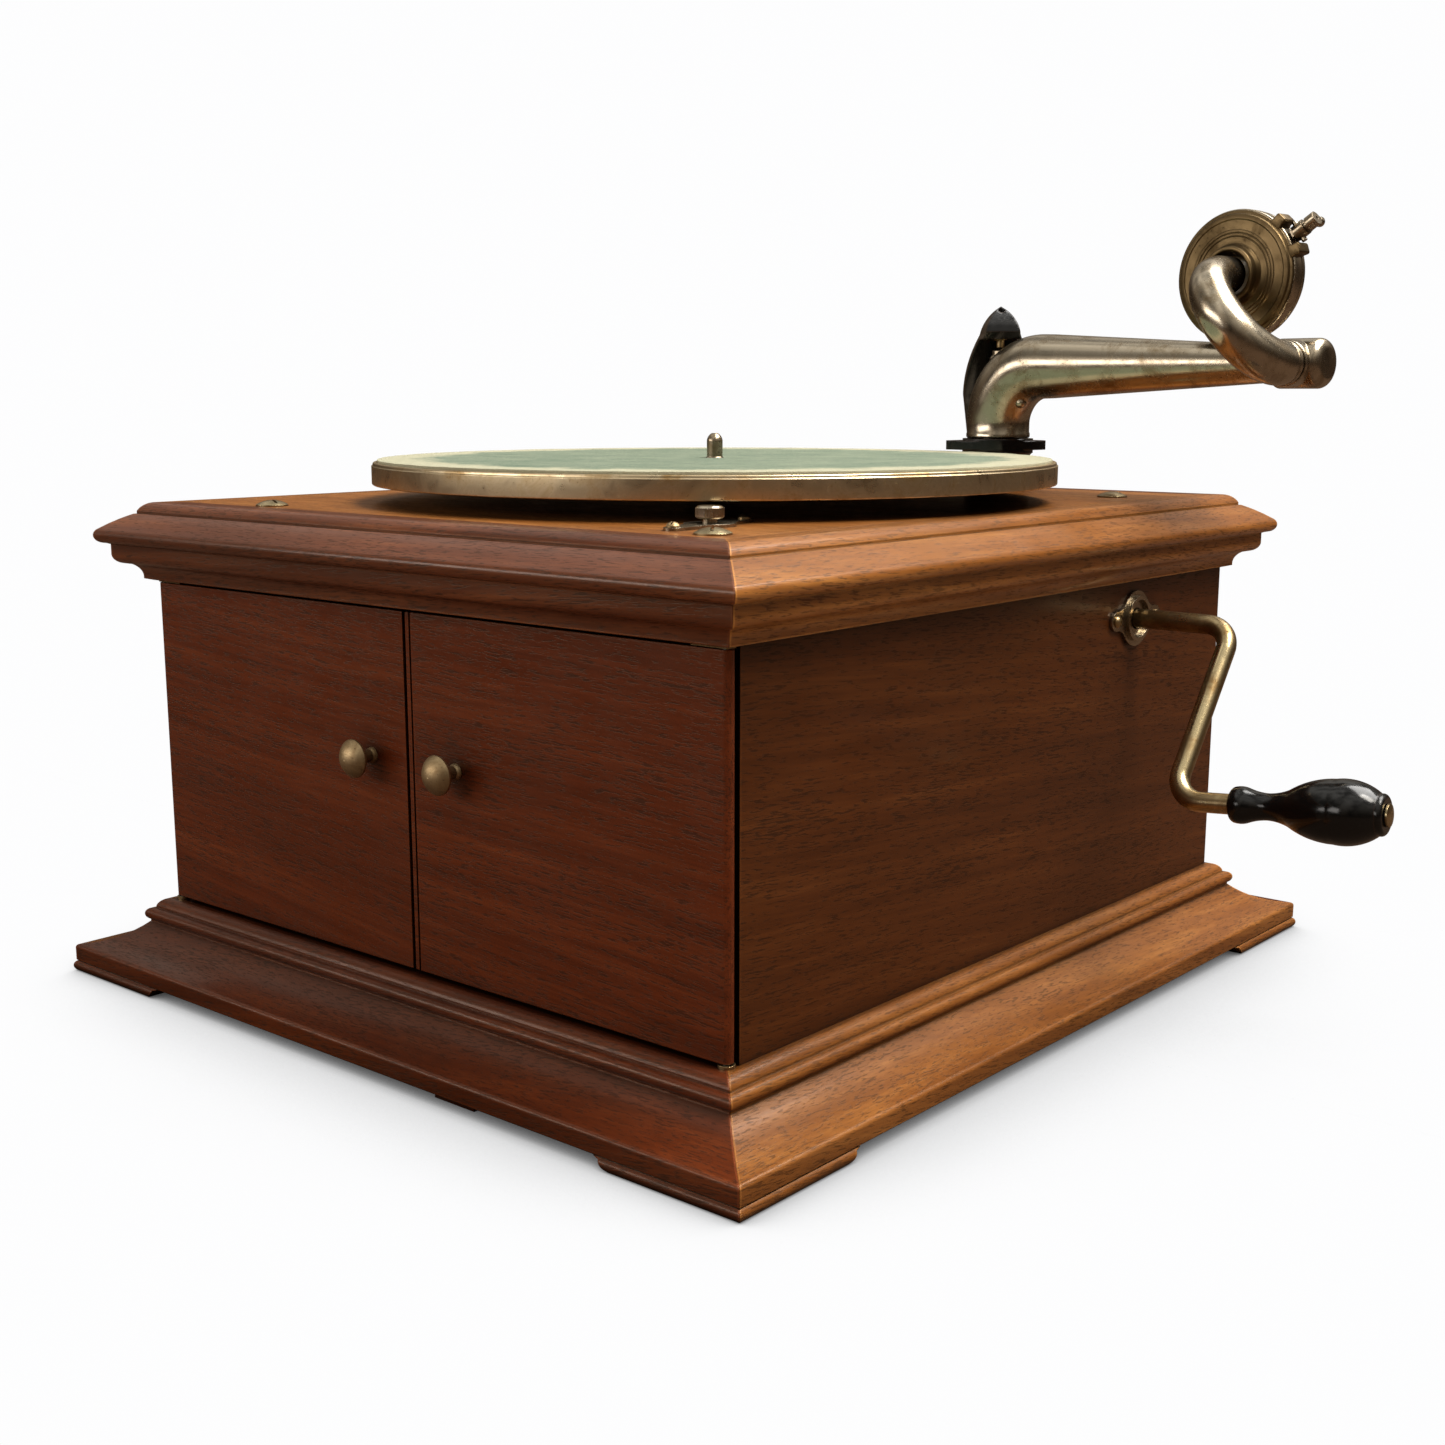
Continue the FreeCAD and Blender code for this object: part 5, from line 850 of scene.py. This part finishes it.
def floor():
    """A pale seamless floor: shining white to the camera, greyed by painted shadow only where it is sheltered."""
    mesh = bpy.data.meshes.new("floor")
    form = bmesh.new()
    bmesh.ops.create_grid(form, x_segments=2, y_segments=2, size=30)
    form.to_mesh(mesh)
    form.free()
    plane = bpy.data.objects.new("floor", mesh)
    bpy.context.scene.collection.objects.link(plane)
    s = Shader("pale_floor")
    path = s.add("LightPath").outputs
    # Painted shadow: two ambient occlusion reaches grey the glowing white near the cabinet, as a soft contact
    # shadow.
    near = s.add("AmbientOcclusion", {"Distance": 0.10}, samples=12).outputs["AO"]
    wide = s.add("AmbientOcclusion", {"Distance": 0.20}, samples=12).outputs["AO"]
    shade = s.sum("MULTIPLY", s.remap(near, 0.0, 0.9, 0.04, 1.0), s.remap(wide, 0.2, 0.80, 0.76, 1.0))
    white = s.mix(shade, (0.0, 0.0, 0.0), (0.985, 0.985, 0.99))
    bounce = s.mix(path["Is Glossy Ray"], (0.26, 0.21, 0.17), (0.08, 0.052, 0.036))
    seen = path["Is Camera Ray"]
    s.finish(
        Base_Color=s.mix(seen, bounce, (0.0, 0.0, 0.0)),
        Roughness=1.0,
        Specular_IOR_Level=0.0,
        Emission_Color=white,
        Emission_Strength=seen,
    )
    mesh.materials.append(s.material)


def sky():
    """White backdrop to the camera; a warm dim room with a bright ceiling to all else."""
    world = bpy.data.worlds.new("studio")
    bpy.context.scene.world = world
    world.use_nodes = True
    tree = world.node_tree
    tree.nodes.clear()
    make = tree.nodes.new
    link = tree.links.new
    output = make("ShaderNodeOutputWorld")
    blend = make("ShaderNodeMixShader")
    path = make("ShaderNodeLightPath")
    white = make("ShaderNodeBackground")
    room = make("ShaderNodeBackground")
    ramp = make("ShaderNodeValToRGB")
    split = make("ShaderNodeSeparateXYZ")
    where = make("ShaderNodeTexCoord")
    clutter = make("ShaderNodeTexNoise")
    clutter.inputs["Scale"].default_value = 4.0
    upright = make("ShaderNodeMapping")
    upright.inputs["Scale"].default_value = (1.0, 1.0, 0.3)
    clutter.inputs["Detail"].default_value = 3.0
    patches = make("ShaderNodeMapRange")
    patches.inputs["From Min"].default_value = 0.40
    patches.inputs["From Max"].default_value = 0.62
    patches.inputs["To Min"].default_value = 0.25
    patches.inputs["To Max"].default_value = 1.5
    white.inputs["Color"].default_value = (0.985, 0.985, 0.99, 1)
    stops = (
        (0.0, (0.05, 0.028, 0.015)),
        (0.50, (0.07, 0.042, 0.024)),
        (0.60, (0.14, 0.105, 0.075)),
        (0.78, (0.50, 0.46, 0.40)),
        (1.0, (1.15, 1.12, 1.05)),
    )
    while len(ramp.color_ramp.elements) < len(stops):
        ramp.color_ramp.elements.new(0.5)
    for element, (position, colour) in zip(ramp.color_ramp.elements, stops):
        element.position = position
        element.color = (*colour, 1)
    half = make("ShaderNodeMath")
    half.operation = "MULTIPLY_ADD"
    half.inputs[1].default_value = 0.5
    half.inputs[2].default_value = 0.5
    link(where.outputs["Generated"], split.inputs[0])
    link(where.outputs["Generated"], upright.inputs["Vector"])
    link(upright.outputs["Vector"], clutter.inputs["Vector"])
    link(clutter.outputs["Fac"], patches.inputs["Value"])
    link(patches.outputs["Result"], room.inputs["Strength"])
    link(split.outputs["Z"], half.inputs[0])
    link(half.outputs[0], ramp.inputs["Fac"])
    link(ramp.outputs["Color"], room.inputs["Color"])
    link(path.outputs["Is Camera Ray"], blend.inputs["Fac"])
    link(room.outputs[0], blend.inputs[1])
    link(white.outputs[0], blend.inputs[2])
    link(blend.outputs[0], output.inputs["Surface"])


def softbox(name, place, aim, size, power, colour=(1, 1, 1)):
    data = bpy.data.lights.new(name, "AREA")
    data.shape = "RECTANGLE"
    data.size, data.size_y = size
    data.energy = power
    data.color = colour
    light = bpy.data.objects.new(name, data)
    light.location = place
    light.rotation_mode = "QUATERNION"
    light.rotation_quaternion = (Vector(aim) - Vector(place)).to_track_quat("-Z", "Y")
    bpy.context.scene.collection.objects.link(light)


def lights():
    middle = (0, 0, 0.2)
    softbox("overhead", (0.7, 0.8, 2.0), middle, (1.5, 1.3), 66, (1.0, 0.98, 0.95))
    softbox("left_fill", (-1.2, -2.4, 0.9), middle, (2.6, 0.7), 27, (1.0, 0.95, 0.90))
    softbox("right_key", (1.4, 0.1, 2.3), middle, (0.7, 1.0), 46, (1.0, 0.95, 0.87))


def camera():
    data = bpy.data.cameras.new("camera")
    data.lens = FOCAL_LENGTH
    data.sensor_width = 36
    data.shift_x, data.shift_y = SHIFT
    data.clip_start = 0.01
    item = bpy.data.objects.new("camera", data)
    item.location = CAMERA_PLACE
    item.rotation_euler = (math.radians(90 + CAMERA_PITCH), 0, math.radians(CAMERA_YAW))
    bpy.context.scene.collection.objects.link(item)
    bpy.context.scene.camera = item


for node in nodes.values():
    node.data.shade_smooth()
    node.data.set_sharp_from_angle(angle=math.radians(30))
build_pieces(paint_everything())
floor()
sky()
lights()
camera()
bpy.context.scene.view_settings.view_transform = "Standard"
